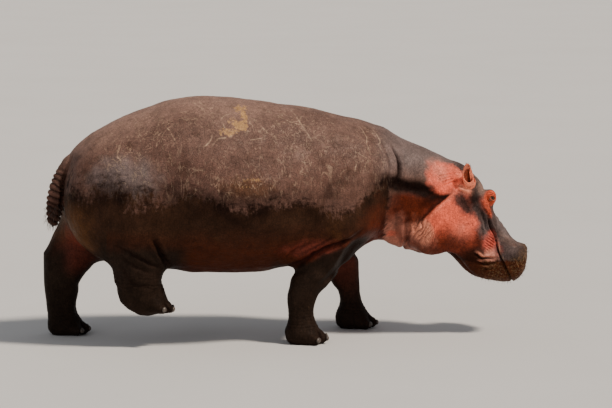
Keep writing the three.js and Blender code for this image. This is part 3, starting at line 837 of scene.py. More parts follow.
def press_tail(clay):
    """The gap between tail and buttocks, and the rings of wrinkles round the tail."""
    index = clay.around(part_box("tail"), 0.02)
    points = clay.points[index]
    x, _, z = points.T
    behind = x < -1.372 - 0.4 * np.clip(1.17 - z, 0, 0.18)
    turns = (z + 0.4 * (x + 1.45) + 0.014 * rough(points, 0.06)) / TAIL_RING
    wave = np.abs(np.sin(np.pi * turns)) ** 0.8
    mask = behind * smooth(1.15, 1.05, z) * smooth(0.7, 0.76, z)
    clay.points[index] += clay.normals[index] * (TAIL_RING_DEPTH * (wave - 0.5) * mask)[:, None]
    # painted shade in the wrinkles round the tail
    clay.darken(index, (1 - wave) ** 1.2 * mask)
    clay.find_normals()
    for side in SIDE_NAMES:
        clay.crease(on_side(side, *TAIL_EDGE), 0.012, 0.03, rim=0.1)


TOE_WIDTH = 0.027
TOE_REACH = 0.012              # the skin within this of the nail's middle line has to touch the nail
NAIL_SUNK = 0.001


def fit_toes(clay):
    """Fills each toe out until it carries its nail."""
    for leg in LEG_NAMES:
        foot = np.array(middle(f"foot_{leg}"))
        for toe in range(1, TOES_PER_FOOT + 1):
            nail = np.array(middle(f"nail_{leg}_{toe}"))
            out = unit((nail - foot) * (1, 1, 0))
            for _ in range(2):
                index = clay.around(nail, 0.07)
                rel = clay.points[index] - nail
                along = rel @ out
                aside = np.linalg.norm(rel - np.outer(along, out), axis=1)
                under = along[aside < TOE_REACH]
                if not len(under):
                    break
                push = (NAIL_SUNK - under.max()) * hump(aside, TOE_WIDTH)
                push *= smooth(-0.065, -0.02, along)
                clay.points[index] += np.outer(push, out)
    clay.find_normals()


TOE_GAPS = ((0, 1), (0, 2), (1, 3))   # the pairs of nails that lie next to each other
ANKLE_RING = 0.022             # from one ring of wrinkles above the foot to the next
ANKLE_RING_DEPTH = 0.0035


def press_legs(clay):
    """Toes parted from each other and rings of wrinkles above the feet."""
    for leg in LEG_NAMES:
        low, high = (np.array(c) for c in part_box(f"foot_{leg}"))
        centre = (low + high) / 2
        nails = [np.array(middle(f"nail_{leg}_{toe + 1}")) for toe in range(TOES_PER_FOOT)]
        for first, second in TOE_GAPS:
            tip = (nails[first] + nails[second]) / 2
            inward = unit((centre - tip) * (1, 1, 0))
            front = np.array([tip[0], tip[1], low[2] + 0.02]) - inward * 0.012
            top = np.array([tip[0], tip[1], low[2] + 0.085]) + inward * 0.045
            clay.crease([front, (front + top) / 2 - inward * 0.012, top], 0.007, 0.01, rim=0.1)
        index = clay.near(low - (0.03, 0.03, 0), high + (0.03, 0.03, 0.16))
        points = clay.points[index]
        height = points[:, 2] - high[2] + 0.04 + 0.02 * rough(points, 0.09, 3)
        mask = smooth(0.0, 0.03, height) * smooth(0.17, 0.08, height)
        wave = np.abs(np.sin(np.pi * height / ANKLE_RING)) ** 0.7
        clay.points[index] += clay.normals[index] * (ANKLE_RING_DEPTH * (wave - 0.6) * mask)[:, None]
        # painted shade in the wrinkles above the foot
        clay.darken(index, (1 - wave) ** 2 * mask * 0.5)
    clay.find_normals()


JOWL_HOLLOW = ((0.6, 0.325, 1.02), (0.716, 0.271, 0.985), (0.836, 0.249, 0.958), (0.93, 0.24, 0.925))
JOWL_EDGE = (                  # the step of the jowl (x, outward, z)
    (1.05, 0.205, 0.952), (1.012, 0.223, 0.92), (0.909, 0.251, 0.842), (0.825, 0.251, 0.753),
    (0.775, 0.24, 0.7),
)
AHEAD_OF_JOWL = np.array([0.662, 0, -0.749])
# Folds on the head's own axes: width, depth, other values of a crease, places in millimetres.
CHEEK_FOLDS = (
    # below the eye, down to the corner of the mouth
    (0.009, 0.022, {"rim": 0.45},
     (40, 184, -68), (59, 196, -96), (96, 196, -119), (146, 182, -128), (190, 150, -132), (222, 122, -136)),
    (0.007, 0.006, {"rim": 0.6, "shade": 0.5},
     (-30, 196, -110), (30, 204, -128), (80, 208, -150), (120, 204, -168)),
    (0.008, 0.004, {"rim": 0.5, "shade": 0.4},
     (20, 200, -150), (70, 210, -172), (110, 210, -196), (130, 206, -220)),
    # back from the mouth
    (0.008, 0.013, {"rim": 0.6},
     (176, 187, -318), (206, 184, -304), (245, 172, -290), (285, 164, -240), (306, 160, -212)),
    (0.008, 0.01, {"rim": 0.5}, (232, 172, -336), (268, 166, -312), (301, 162, -283), (330, 164, -244)),
    (0.008, 0.006, {"rim": 0.5}, (280, 160, -345), (320, 160, -310), (352, 166, -262)),
)
NAPE_FOLDS = tuple(            # upright folds of the nape, each further behind the ear
    (0.006, 0.0045, {"rim": 0.6, "shade": 0.5},
     (-222 - back, 150, -60 - fall), (-262 - back, 176, -120), (-288 - back, 196, -190))
    for back, fall in ((0, 0), (22, 4), (44, 8), (66, 12))
)
EAR_FOLDS = ((0.008, 0.005, {"shade": 0.4}, (-232, 178, -150), (-190, 188, -140), (-145, 190, -112)),)
NOSE_FOLDS = tuple(            # lines across the bridge of the nose
    (0.009, 0.0025, {"rim": 0.4, "blunt": 0.3, "shade": 0.25},
     (forward, 118, -56), (forward + 8, 70, -34), (forward + 12, 0, -28))
    for forward in (70, 108, 150, 196)
)
MOUTH_SEAM = (
    (224, 118, -137), (268, 140, -169), (313, 167, -189), (361, 184, -205), (410, 186, -217),
    (452, 166, -222), (486, 120, -216), (503, 60, -206), (508, 0, -202),
)
# Pleats: middle in millimetres, the way across them, radius in metres, pitch, depth, other values.
MOUTH_PLEATS = (
    (205, 172, -186), (0.42, 0.05, -0.9), 0.062, 0.0165, 0.009, {"wander": 0.2, "seed": 11, "shade": 0.6}
)
JOWL_PLEATS = (
    (-160, 198, -490), (0.9, 0.1, 0.35), 0.088, 0.024, 0.013, {"wander": 0.7, "seed": 21, "shade": 1.0}
)
CHEEK_PLEATS = (
    (-90, 195, -470), (0.75, 0.1, 0.65), 0.06, 0.018, 0.004, {"wander": 0.6, "seed": 25, "shade": 0.5}
)


def press_face(clay, side):
    """Cheek, jowl, the folds under the eye and at the corner of the mouth, and the lips."""

    def folds(rows):
        for width, depth, look, *places in rows:
            clay.crease(on_head(side, *places), width, depth, **look)

    def pleats(place, across, radius, pitch, depth, look):
        way = on_head(side, across)[0] - HEAD_ORIGIN
        clay.pleats(on_head(side, place)[0], radius, way, pitch, depth, **look)

    # the jowl stands out over a hollow behind it
    clay.crease(on_side(side, *JOWL_HOLLOW), 0.028, 0.02, rim=0.25)
    clay.find_normals()
    clay.ledge(on_side(side, *JOWL_EDGE), AHEAD_OF_JOWL, 0.009, 0.016, 0.075, blunt=0.35)
    clay.find_normals()
    folds(CHEEK_FOLDS)
    clay.find_normals()
    pleats(*MOUTH_PLEATS)
    # the seam of the mouth and the lip that hangs over it
    seam = on_head(side, *MOUTH_SEAM)
    clay.crease(seam, 0.006, 0.014, rim=0.0, blunt=0.12)
    lip = seam + 0.016 * HEAD_UP + 0.002 * HEAD_FORWARD
    clay.crease(lip, 0.009, -0.005, rim=0.0, blunt=0.25, shade=0.0)
    clay.find_normals()
    # wrinkled hide where jowl and neck meet, and creases over the cheek
    pleats(*JOWL_PLEATS)
    pleats(*CHEEK_PLEATS)
    folds(NAPE_FOLDS)
    # a roll under the ear
    clay.swell(on_head(side, (-190, 180, -116))[0], (0.04, 0.03, 0.022), 0.01)
    folds(EAR_FOLDS)
    folds(NOSE_FOLDS)
    clay.find_normals()


def across_from(vector, *directions):
    """A unit vector: what is left of a vector when its parts along some unit vectors are taken away."""
    left = vector
    for direction in directions:
        left = left - direction * (vector @ direction)
    return unit(left)


def eye_axes(side):
    """The way the eye looks, the way its slit runs (forward and a little down), and up across it."""
    out = unit(side * HEAD_LEFT + 0.2 * HEAD_FORWARD + 0.08 * HEAD_UP)
    along = across_from(HEAD_FORWARD + 0.35 * HEAD_UP, out)
    return out, along, across_from(HEAD_UP, out, along)


LOWER_LID_SHARE = 0.85         # the slit reaches this much of its half height below its middle


def slit_width(points, side):
    """How far each point lies outside the slit between the lids, and how far along, across and out of it."""
    shape = settings().shape
    rel = points - eye_at(side)
    out, along, high = eye_axes(side)
    s, t, h = rel @ along, rel @ high, rel @ out
    half_high = shape.eye_slit_high * np.where(t > 0, 1, LOWER_LID_SHARE)
    open_at = np.hypot(s / shape.eye_slit_long, t / half_high)
    return (open_at - 1) * 0.5 * (shape.eye_slit_long + shape.eye_slit_high), s, t, h


LID_RINGS = (                  # round the slit: above or below it, how far out, width, height
    ("above", 0.015, 0.0036, 0.0032),
    ("above", 0.01, 0.0021, -0.0046),
    ("above", 0.021, 0.0026, -0.003),
    ("below", 0.013, 0.0034, 0.0026),
    ("below", 0.009, 0.0018, -0.003),
    ("below", 0.018, 0.0024, -0.002),
)
LID_SHADES = (                 # the same, with how dark in place of the height
    ("above", 0.01, 0.0022, 0.85),
    ("below", 0.009, 0.0018, 0.6),
    ("above", 0.021, 0.0026, 0.5),
)


EYE_POUCH = ((-20, 188, -44), (8, 186, -56), (34, 184, -66), (52, 184, -74))
POUCH_FOLDS = (                # below the pouch and above it: depth, places in millimetres
    (0.007, (-44, 192, -60), (-6, 194, -84), (34, 192, -88), (62, 190, -92)),
    (0.006, (0, 172, -34), (30, 176, -50), (60, 178, -64)),
)


def open_eye(clay, side):
    """The socket with lids that lie on the eyeball, and the folds above and below them."""
    shape = settings().shape
    eye = eye_at(side)
    out = eye_axes(side)[0]
    index = clay.around(eye, 0.07)
    width, s, t, h = slit_width(clay.points[index], side)
    r = np.hypot(s, t)
    keep = (r < 0.055) & (h > -0.03) & (clay.normals[index] @ out > -0.2)
    index, width, s, t, h, r = (a[keep] for a in (index, width, s, t, h, r))
    angle = np.arctan2(t, s)
    wobble = 1 + 0.12 * np.sin(2 * angle + 0.6) + 0.09 * np.sin(3 * angle - 0.5)
    above = smooth(-0.35, 0.75, t / np.maximum(r, 1e-4))
    below = smooth(-0.2, 0.8, -t / np.maximum(r, 1e-4))
    ball = np.sqrt(np.maximum(shape.eye_radius**2 - r**2, 0))
    lid = np.maximum(ball, shape.eye_radius * 0.5) + shape.lid * np.clip(width / 0.003, 0, 1) ** 0.5
    rim = 0.003 * hump(width - 0.005, 0.003)
    goal = np.where(width < 0, ball - 0.009, lid + rim)
    blend = 1 - smooth(0.004, 0.018, width)
    new_h = h * (1 - blend) + goal * blend
    for part, at, wide, height in LID_RINGS:
        where = {"above": above, "below": below}[part]
        new_h += where * height * hump(width - at * wobble, wide)
    clay.points[index] += np.outer(new_h - h, out)
    for part, at, wide, shade in LID_SHADES:
        where = {"above": above, "below": below}[part]
        clay.darken(index, where * shade * hump(width - at * wobble, wide))
    clay.find_normals()
    # the pouch below the eye, that narrows down into the fold
    clay.crease(on_head(side, *EYE_POUCH), 0.013, -0.008, rim=0.5, shade=0.0)
    clay.find_normals()
    for depth, *places in POUCH_FOLDS:
        clay.crease(on_head(side, *places), 0.006, depth, rim=0.3, shade=0.9)
    clay.find_normals()


NOSTRIL_HIGH = 0.0085          # half the height of the slit
NOSTRIL_PIT = 0.03
NOSTRIL_RIM = 0.007


def open_nostril(clay, side):
    """A slit with raised, rounded rims."""
    shape = settings().shape
    place = clay.snapped(on_head(side, NOSTRIL_AT))[0]
    out = unit(0.8 * HEAD_UP + 0.45 * side * HEAD_LEFT + 0.35 * HEAD_FORWARD)
    along = across_from(HEAD_FORWARD * 0.8 - side * HEAD_LEFT * 0.6, out)
    across = np.cross(out, along)
    index = clay.around(place, 0.06)
    rel = clay.points[index] - place
    s, t = rel @ along, rel @ across
    t = t - 0.22 * (s * s) / shape.nostril
    edge = np.hypot(s / shape.nostril, t / NOSTRIL_HIGH)
    pit = -NOSTRIL_PIT * (1 - smooth(0.35, 1.0, edge))
    rim = NOSTRIL_RIM * hump(np.hypot(s / 1.15, t * 2.2) - shape.nostril, 0.012)
    near = np.hypot(s, t) < 0.055
    clay.points[index] += np.outer((pit + rim) * near, out)
    # painted shade in the pit of the nostril
    clay.darken(index, (1 - smooth(0.5, 1.15, edge)) * near)
    clay.find_normals()


EAR_TILT = {RIGHT: (14, 14), LEFT: (34, 38)}   # degrees back and out


def ear_axes(side):
    """The ear's upright axis, the way its hollow opens, and the way across."""
    back, out = (math.radians(a) for a in EAR_TILT[side])
    axis = np.array([-math.sin(back) * math.cos(out), side * math.sin(out), math.cos(back) * math.cos(out)])
    opens = across_from(side * HEAD_LEFT * 0.86 + np.array([0.5, 0, -0.05]), axis)
    return axis, opens, np.cross(axis, opens)


EAR_FLAP = 1.6                 # the fold inside the ear stands at this angle, towards the front


def ear_wall(theta, height, inner, shape, flap_at):
    """Half widths of the ear at a height: along the way it opens, and across."""
    swell_at = np.clip(height / shape.ear_height, 0, 1)
    across = shape.ear_width * (0.86 + 0.28 * np.sin(np.pi * np.clip(swell_at * 0.8 + 0.15, 0, 1)) ** 1.2)
    opening = shape.ear_width * 0.6 * (1 - 0.2 * swell_at)
    less = shape.ear_wall if inner else 0.0
    flap = 0.55 * hump(theta - flap_at, 0.34) * inner * smooth(0.95, 0.6, swell_at)
    opening, across = np.maximum(opening - less, 0.003), np.maximum(across - less, 0.003)
    return opening * np.cos(theta) * (1 - flap), across * np.sin(theta) * (1 - flap)


EAR_SUNK = 0.022               # the ear's root lies this deep under the skin round it
EAR_LOW_RIM = 0.026            # height of the rim at the front, where the cup opens
EAR_FLOOR = -0.006             # height of the bottom of the hollow


def raise_ear(clay, side):
    """Draws a round patch of skin out into a cup: up its outside, over the rim and down inside."""
    shape = settings().shape
    centre = clay.snapped(on_head(side, EAR_AT))[0]
    around = clay.around(centre, EAR_DISC)
    normal = unit(clay.normals[around].mean(axis=0))
    axis, opens, across = ear_axes(side)
    flat_open = opens - normal * (opens @ normal)
    if np.linalg.norm(flat_open) < 0.3:
        flat_open = -axis + normal * (axis @ normal)
    flat_open = unit(flat_open)
    flat_across = np.cross(normal, flat_open)
    flat_across *= np.sign(flat_across @ across)
    index = clay.around(centre, EAR_DISC + 0.01)
    rel = clay.points[index] - centre
    u, v, w = rel @ flat_open, rel @ flat_across, rel @ normal
    reach = np.hypot(u, v)
    keep = (reach < EAR_DISC) & (np.abs(w) < 0.03)
    index, u, v, reach = (a[keep] for a in (index, u, v, reach))
    theta = np.arctan2(v, u)
    t = 1 - reach / EAR_DISC
    flap_at = EAR_FLAP * (1 if side == RIGHT else -1)
    rise = 1 - (1 - ((1 - np.cos(theta)) / 2) ** 1.5) ** 1.35
    rim_height = EAR_LOW_RIM + (shape.ear_height - EAR_LOW_RIM) * rise
    climb = np.clip((t - 0.06) / 0.44, 0, 1)
    up = smooth(0.0, 1.0, climb) * 0.35 + climb * 0.65
    down = np.clip((t - 0.56) / 0.3, 0, 1)
    height = np.where(t < 0.53, rim_height * up, rim_height + (EAR_FLOOR - rim_height) * down)
    outer_b, outer_c = ear_wall(theta, height, False, shape, flap_at)
    inner_b, inner_c = ear_wall(theta, height, True, shape, flap_at)
    inward = smooth(0.49, 0.57, t)
    closing = 1 - smooth(0.86, 1.0, t)
    part_b = (outer_b * (1 - inward) + inner_b * inward) * closing
    part_c = (outer_c * (1 - inward) + inner_c * inward) * closing
    # the cup leans so that its back wall curls over the hollow
    curl = 0.16 * height * smooth(0.4, 1.0, height / shape.ear_height)
    goal = centre - axis * EAR_SUNK
    for amount, way in ((height, axis), (part_b + curl, opens), (part_c, across)):
        goal = goal + np.outer(amount, way)
    blend = smooth(0.0, 0.16, t)[:, None]
    clay.points[index] = clay.points[index] * (1 - blend) + goal * blend
    hollow = smooth(0.6, 0.68, t) * (1 - 0.95 * hump(theta - flap_at, 0.42) * (t < 0.84))
    clay.ear[index] = np.maximum(clay.ear[index], hollow + 1e-3)
    clay.soften(index, 0.5, 6)


def rough_up(clay):
    """Fine wrinkles and lumps over the whole hide, by region."""
    depth = settings().shape.wrinkle_depth
    points = clay.points
    head = smooth(-0.1, 0.1, ahead(points, HEAD_PLANE))
    lumps = rough(points, 0.09, 31) * 0.0034 * (1 - head) + rough(points, 0.045, 37) * 0.0014 * head
    forward, _, up = in_head(points)
    lumps += rough(points, 0.014, 39) * 0.0022 * smooth(395, 470, forward - 0.25 * up)
    tall = points * (1.0, 1.0, 0.32)
    long = points * (0.45, 1.0, 1.0)
    cross = (1 - np.abs(grain(tall, 0.024, 41))) * 0.5 + (1 - np.abs(grain(long, 0.026, 43))) * 0.5
    fine = (1 - np.abs(grain(points, 0.011, 47))) * head
    wrinkles = -(cross**3) * depth * (1 - 0.4 * head) - fine**3 * depth * 0.55
    calm = 1 - clay.spread((clay.ear > 0).astype(float), 3)
    for side in SIDE_NAMES:
        calm *= smooth(0.026, 0.05, np.linalg.norm(points - eye_at(side), axis=1))
    clay.points = points + clay.normals * ((lumps + wrinkles) * calm)[:, None]
    clay.find_normals()


def keep_in_box(clay):
    """Nothing of the skin passes the box of the solids, and the soles stay flat on the floor."""
    low, high = (np.array(c) for c in CAD_BOX)
    clay.points = np.clip(clay.points, low, high)
    soles = clay.points[:, 2] < 0.004
    clay.points[soles, 2] = 0.0


# ---------------------------------------------------------------- the skin: colours


LAYERS = ("line", "wet", "mud", "scratched", "sore")   # what the skin's points hold besides their colours


class Paint:
    """Colours laid on the skin's points, one soft patch over another."""

    def __init__(self, clay):
        self.clay = clay
        self.points = clay.points
        self.on_head = in_head(clay.points)
        count = len(clay.points)
        self.colours = np.zeros((count, 3))
        self.low_colours = np.zeros((count, 3))
        self.line = np.ones(count)
        self.wet, self.mud, self.scratched, self.sore = np.zeros((4, count))

    def cover(self, mask, name, strength=1.0, low=False):
        """Lays a colour over the dry colours, or over those below the waterline where low is set."""
        tint = np.array(getattr(settings().colours, name))
        target = self.low_colours if low else self.colours
        index = np.flatnonzero(mask > 0.002)
        amount = np.clip(mask[index] * strength, 0, 1)[:, None]
        target[index] = target[index] * (1 - amount) + tint * amount

    def cover_both(self, mask, name, strength=1.0):
        self.cover(mask, name, strength)
        self.cover(mask, name, strength, low=True)

    def round_patch(self, place, radii, ragged, edge, seed):
        """A mask: 1 in the middle of an ellipsoid and 0 outside it, with a ragged edge."""
        radii = np.array(radii)
        mask = np.zeros(len(self.points))
        reach = radii * (1 + edge + ragged)
        index = self.clay.around(place, reach)
        points = self.points[index]
        gap = np.linalg.norm((points - place) / radii, axis=1)
        gap = gap + ragged * rough(points, radii.min() * 0.5, seed)
        mask[index] = 1 - smooth(1 - edge, 1 + edge, gap)
        return mask

    def head_patch(self, side, place, radii, ragged, edge, seed):
        """The same on the head, in its own axes and in millimetres."""
        forward, left, up = self.on_head
        gap = np.sqrt(
            ((forward - place[0]) / radii[0]) ** 2
            + ((side * left - place[1]) / radii[1]) ** 2
            + ((up - place[2]) / radii[2]) ** 2
        )
        mask = np.zeros(len(self.points))
        index = np.flatnonzero((gap < 1 + edge + ragged) & (side * left > 0))
        ragged_gap = gap[index] + ragged * rough(self.points[index], min(radii) / 2000, seed, 4)
        mask[index] = 1 - smooth(1 - edge, 1 + edge, ragged_gap)
        return mask

    def stroke(self, places, width, ragged=0.3, seed=1, fade=0.5):
        """A mask along a path."""
        path = curve_through(places)
        mask = np.zeros(len(self.points))
        index = self.clay.around(path, 4 * width)
        gap, place = to_path(self.points[index], path)
        gap = gap / width + ragged * rough(self.points[index], width * 2, seed)
        taper = tapered(place, fade)
        mask[index] = np.exp(-(np.maximum(gap, 0) ** 2)) * taper
        return mask


WATERLINE = (                  # how high the wet hide reaches, whose darkness below is painted shade as well (x, z)
    (-1.45, 1.02), (-1.33, 0.99), (-1.16, 1.0), (-1.01, 0.955), (-0.82, 0.935), (-0.67, 0.985),
    (-0.51, 0.945), (-0.35, 0.885), (-0.18, 0.935), (-0.02, 0.93), (0.1, 0.9), (0.2, 0.845),
    (0.3, 0.845), (0.4, 0.9), (0.5, 0.97), (0.62, 1.04),
)
LINE_SPAN = 0.2               # the waterline's field runs from 0 to 1 over this height


BODY_PATCHES = (               # on both sides, above the waterline alone or also below it:
    # the pair of legs that it moves with, place (x, outward, z), radii, ragged, edge, seed, colour, strength
    # a painted sheen on the rump
    (None, (-1.1, 0.43, 1.09), (0.2, 0.2, 0.12), 0.5, 0.6, 17, "slate", 0.85, "above"),
    # painted shade below the hip and just above the waterline
    (None, (-1.18, 0.42, 1.0), (0.2, 0.2, 0.09), 0.6, 0.6, 19, "soot", 0.6, "above"),
    (None, (-0.8, 0.52, 0.98), (0.3, 0.2, 0.07), 0.9, 0.7, 20, "soot", 0.45, "above"),
    (None, (-0.34, 0.58, 1.03), (0.15, 0.2, 0.06), 0.8, 0.6, 23, "ochre", 0.5, "above"),
    # painted shade just above the waterline
    (None, (-0.3, 0.58, 0.96), (0.4, 0.2, 0.05), 0.9, 0.7, 24, "soot", 0.5, "above"),
    (None, (-1.37, 0.24, 0.74), (0.1, 0.16, 0.17), 0.4, 0.6, 27, "ochre", 0.85, "both"),
    ("hind", (-1.03, 0.12, 0.555), (0.14, 0.13, 0.15), 0.4, 0.7, 29, "groin", 0.85, "both"),
    ("front", (0.12, 0.4, 0.615), (0.2, 0.12, 0.055), 0.5, 0.7, 31, "groin", 0.7, "both"),
    (None, (0.48, 0.14, 0.62), (0.2, 0.24, 0.1), 0.4, 0.6, 33, "rust", 0.9, "both"),
    (None, (0.53, 0.26, 0.74), (0.13, 0.2, 0.15), 0.5, 0.8, 33, "rust", 0.75, "both"),
)
TAIL_ROOT = ((-1.345, 0.07, 1.215), (-1.385, 0.072, 1.145), (-1.41, 0.07, 1.08))
LEG_TOPS = {"front_right": 0.06, "front_left": 0.05, "hind_right": 0.2, "hind_left": 0.02}
CHEST_FOLD = ((0.02, 0.4, 0.5), (0.16, 0.4, 0.595), (0.38, 0.4, 0.675), (0.46, 0.4, 0.7))


def paint_body(paint):
    """Dry dusty back above the waterline; dark flank, reddish belly and dark legs below it."""
    p = paint.points
    x, y, z = p.T
    everywhere = np.ones(len(p))
    paint.cover(everywhere, "flank")
    # lighter towards the top of the back: dry, dusty hide with painted top light
    paint.cover(smooth(1.06, 1.44, z + 0.07 * rough(p, 0.22, 5)), "dry", 0.9)
    top = z + 0.25 * np.clip(x - 0.2, 0, 1) + 0.4 * np.clip(-0.75 - x, 0, 1) + 0.04 * grain(p, 0.35, 3)
    paint.cover(smooth(1.4, 1.57, top) * smooth(1.0, 1.2, z), "dust", 0.9)
    mottle = smooth(0.05, 0.7, rough(p, 0.08, 6)) * smooth(1.56, 1.25, z)
    paint.cover(mottle, "wet", 0.42)
    pale = smooth(0.2, 0.8, rough(p, 0.11, 8)) * smooth(0.95, 1.1, z)
    paint.cover(pale, "dust", 0.3)
    line = np.interp(x, *np.array(WATERLINE).T)
    paint.line = np.clip(0.5 + (z - line) / np.interp(x, (-1.0, -0.6), (2 * LINE_SPAN, LINE_SPAN)), 0, 1)
    dry_neck = smooth(0.55, 0.64, x + 0.02 * rough(p, 0.08, 7)) * smooth(0.45, 0.52, z)
    paint.line = np.maximum(paint.line, dry_neck)
    # below the line, wet hide with painted shade: nearly black at the line, then brown, then reddish under
    # the belly
    paint.cover(everywhere, "wet", low=True)
    depth = line - z + 0.05 * rough(p, 0.15, 9)
    paint.cover(smooth(0.17, 0.03, depth) * smooth(-0.35, 0.45, rough(p, 0.16, 10)), "soot", 0.85, low=True)
    under = smooth(0.8, 0.6, z + 0.05 * rough(p, 0.2, 13)) * (x > -1.2)
    paint.cover(under, "belly", 0.9, low=True)
    paint.cover(smooth(0.25, 0.75, rough(p, 0.13, 15)) * smooth(0.95, 0.75, z), "ochre", 0.46, low=True)
    for side in SIDE_NAMES:
        for pair, place, radii, ragged, edge, seed, name, strength, where in BODY_PATCHES:
            mask = paint.round_patch(by_leg(pair, side, place)[0], radii, ragged, edge, seed)
            cover = paint.cover_both if where == "both" else paint.cover
            cover(mask, name, strength)
        paint.cover_both(paint.stroke(on_side(side, *TAIL_ROOT), 0.013), "throat", 0.7)
    legs = np.zeros(len(p))
    for leg, rise in LEG_TOPS.items():
        low_corner, high_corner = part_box(f"leg_{leg}")
        top = high_corner[2] + rise
        side = RIGHT if "right" in leg else LEFT
        here = smooth(-0.12, -0.04, x - low_corner[0]) * smooth(0.18, 0.05, x - high_corner[0])
        here *= smooth(top + 0.09, top - 0.07, z + 0.06 * rough(p, 0.15, 35)) * (side * y > 0.02)
        legs = np.maximum(legs, here)
    for side in SIDE_NAMES:
        # the foreleg is dark right up to the fold where it leaves the chest
        fold = by_leg("front", side, *CHEST_FOLD)
        above = z + 0.025 * rough(p, 0.05, 36) - np.interp(x, fold[:, 0], fold[:, 2])
        here = smooth(fold[0, 0] - 0.06, fold[0, 0], x) * smooth(fold[-1, 0] + 0.05, fold[-1, 0] - 0.03, x)
        legs = np.maximum(legs, here * smooth(0.012, -0.03, above) * smooth(0.12, 0.2, side * y))
    # dark wet hide on the legs, darkened further as painted shade
    paint.cover_both(legs, "leg", 0.94)
    inside = legs * np.clip(-np.sign(y) * paint.clay.normals[:, 1], 0, 1) ** 2 * smooth(0.16, 0.4, z)
    paint.cover_both(inside * smooth(-0.2, 0.0, x), "groin", 0.3)
    paint.cover_both(inside * smooth(-1.46, -1.36, x) * smooth(0.36, 0.48, z), "groin", 0.35)
    tail = within(p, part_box("tail"), 0.012) & (np.abs(y) < 0.07) & (x < -1.385)
    paint.cover_both(tail * smooth(1.19, 0.92, z), "tail", 0.9)
    paint.cover_both(tail * smooth(0.95, 0.85, z), "soot", 0.6)
    paint.line[tail] = 1
    paint.wet = np.clip(smooth(0.6, 0.4, paint.line) + legs, 0, 1)


SCAR_STEPS = 12                # points along each scar's curve
SCARS = (                      # half width, then places (x, outward, z)
    (0.0035, [(-0.4, 0.415, 1.355), (-0.448, 0.393, 1.391), (-0.459, 0.325, 1.451), (-0.39, 0.28, 1.475)]),
    (0.004, [(-0.365, 0.4, 1.375), (-0.43, 0.44, 1.345), (-0.501, 0.444, 1.331), (-0.54, 0.47, 1.29)]),
    (0.004, [(0.0, 0.15, 1.48), (0.03, 0.25, 1.43), (0.05, 0.3, 1.385), (0.105, 0.375, 1.3)]),
    (0.003, [(-0.13, 0.208, 1.473), (-0.063, 0.278, 1.431), (0.03, 0.3, 1.41), (0.125, 0.28, 1.4)]),
    (0.0028, [(-0.08, 0.31, 1.41), (0.02, 0.28, 1.425), (0.06, 0.22, 1.45)]),
    (0.0035, [(-0.224, 0.35, 1.402), (-0.199, 0.373, 1.376), (-0.18, 0.39, 1.35)]),
    (0.004, [(-0.632, 0.14, 1.55), (-0.6, 0.21, 1.52), (-0.555, 0.262, 1.493)]),
    (0.0028, [(-0.585, 0.12, 1.555), (-0.58, 0.18, 1.53), (-0.54, 0.24, 1.5)]),
    (0.004, [(-1.105, 0.3, 1.265), (-1.125, 0.35, 1.225), (-1.099, 0.383, 1.184)]),
    (0.003, [(-0.9, 0.36, 1.365), (-0.84, 0.31, 1.402), (-0.8, 0.33, 1.38), (-0.755, 0.42, 1.3)]),
    (0.0026, [(-0.86, 0.38, 1.35), (-0.81, 0.33, 1.385), (-0.74, 0.31, 1.4)]),
    (0.0035, [(-0.6, 0.47, 1.28), (-0.565, 0.455, 1.3), (-0.545, 0.44, 1.33), (-0.535, 0.42, 1.36)]),
    (0.003, [(0.43, 0.17, 1.38), (0.47, 0.26, 1.31), (0.455, 0.3, 1.27), (0.475, 0.34, 1.21)]),
    (0.003, [(0.52, 0.14, 1.35), (0.56, 0.22, 1.28), (0.545, 0.25, 1.25), (0.575, 0.28, 1.19)]),
    (0.0026, [(0.35, 0.4, 1.2), (0.375, 0.41, 1.16), (0.36, 0.43, 1.1)]),
    (0.0026, [(-0.3, 0.44, 1.32), (-0.24, 0.43, 1.33), (-0.21, 0.42, 1.335)]),
)
LEFT_SCARS_SHIFT = (-0.23, 0, -0.045)   # the left flank's scars lie this much off those of the right
BLEMISHES = (                  # old yellowish sores on the right: middle (x, outward, z), radii, strength
    ((-0.335, 0.22, 1.5), (0.05, 0.1, 0.02), 0.75),
    ((-0.318, 0.28, 1.455), (0.02, 0.1, 0.052), 1.0),
    ((-0.35, 0.37, 1.405), (0.05, 0.1, 0.028), 1.0),
    ((-0.43, 0.42, 1.37), (0.06, 0.1, 0.026), 0.7),
    ((-0.4, 0.33, 1.43), (0.04, 0.1, 0.026), 0.5),
    ((-0.3, 0.56, 1.08), (0.07, 0.1, 0.014), 0.45),
    ((-0.36, 0.58, 1.04), (0.06, 0.1, 0.012), 0.4),
)
SCRATCH_FIELDS = (             # where fine scratches crowd: middle (x, z), spread (x, z), strength
    ((-0.86, 1.37), (0.2, 0.11), 0.9),
    ((-1.07, 1.22), (0.14, 0.11), 0.8),
    ((-0.6, 1.5), (0.13, 0.06), 0.8),
    ((-0.2, 1.4), (0.22, 0.1), 0.8),
    ((0.08, 1.38), (0.17, 0.09), 1.0),
    ((0.1, 1.18), (0.3, 0.1), 0.6),
    ((0.5, 1.24), (0.1, 0.13), 1.0),
    ((-0.62, 1.12), (0.3, 0.12), 0.5),
    ((-0.3, 1.04), (0.26, 0.06), 0.6),
)


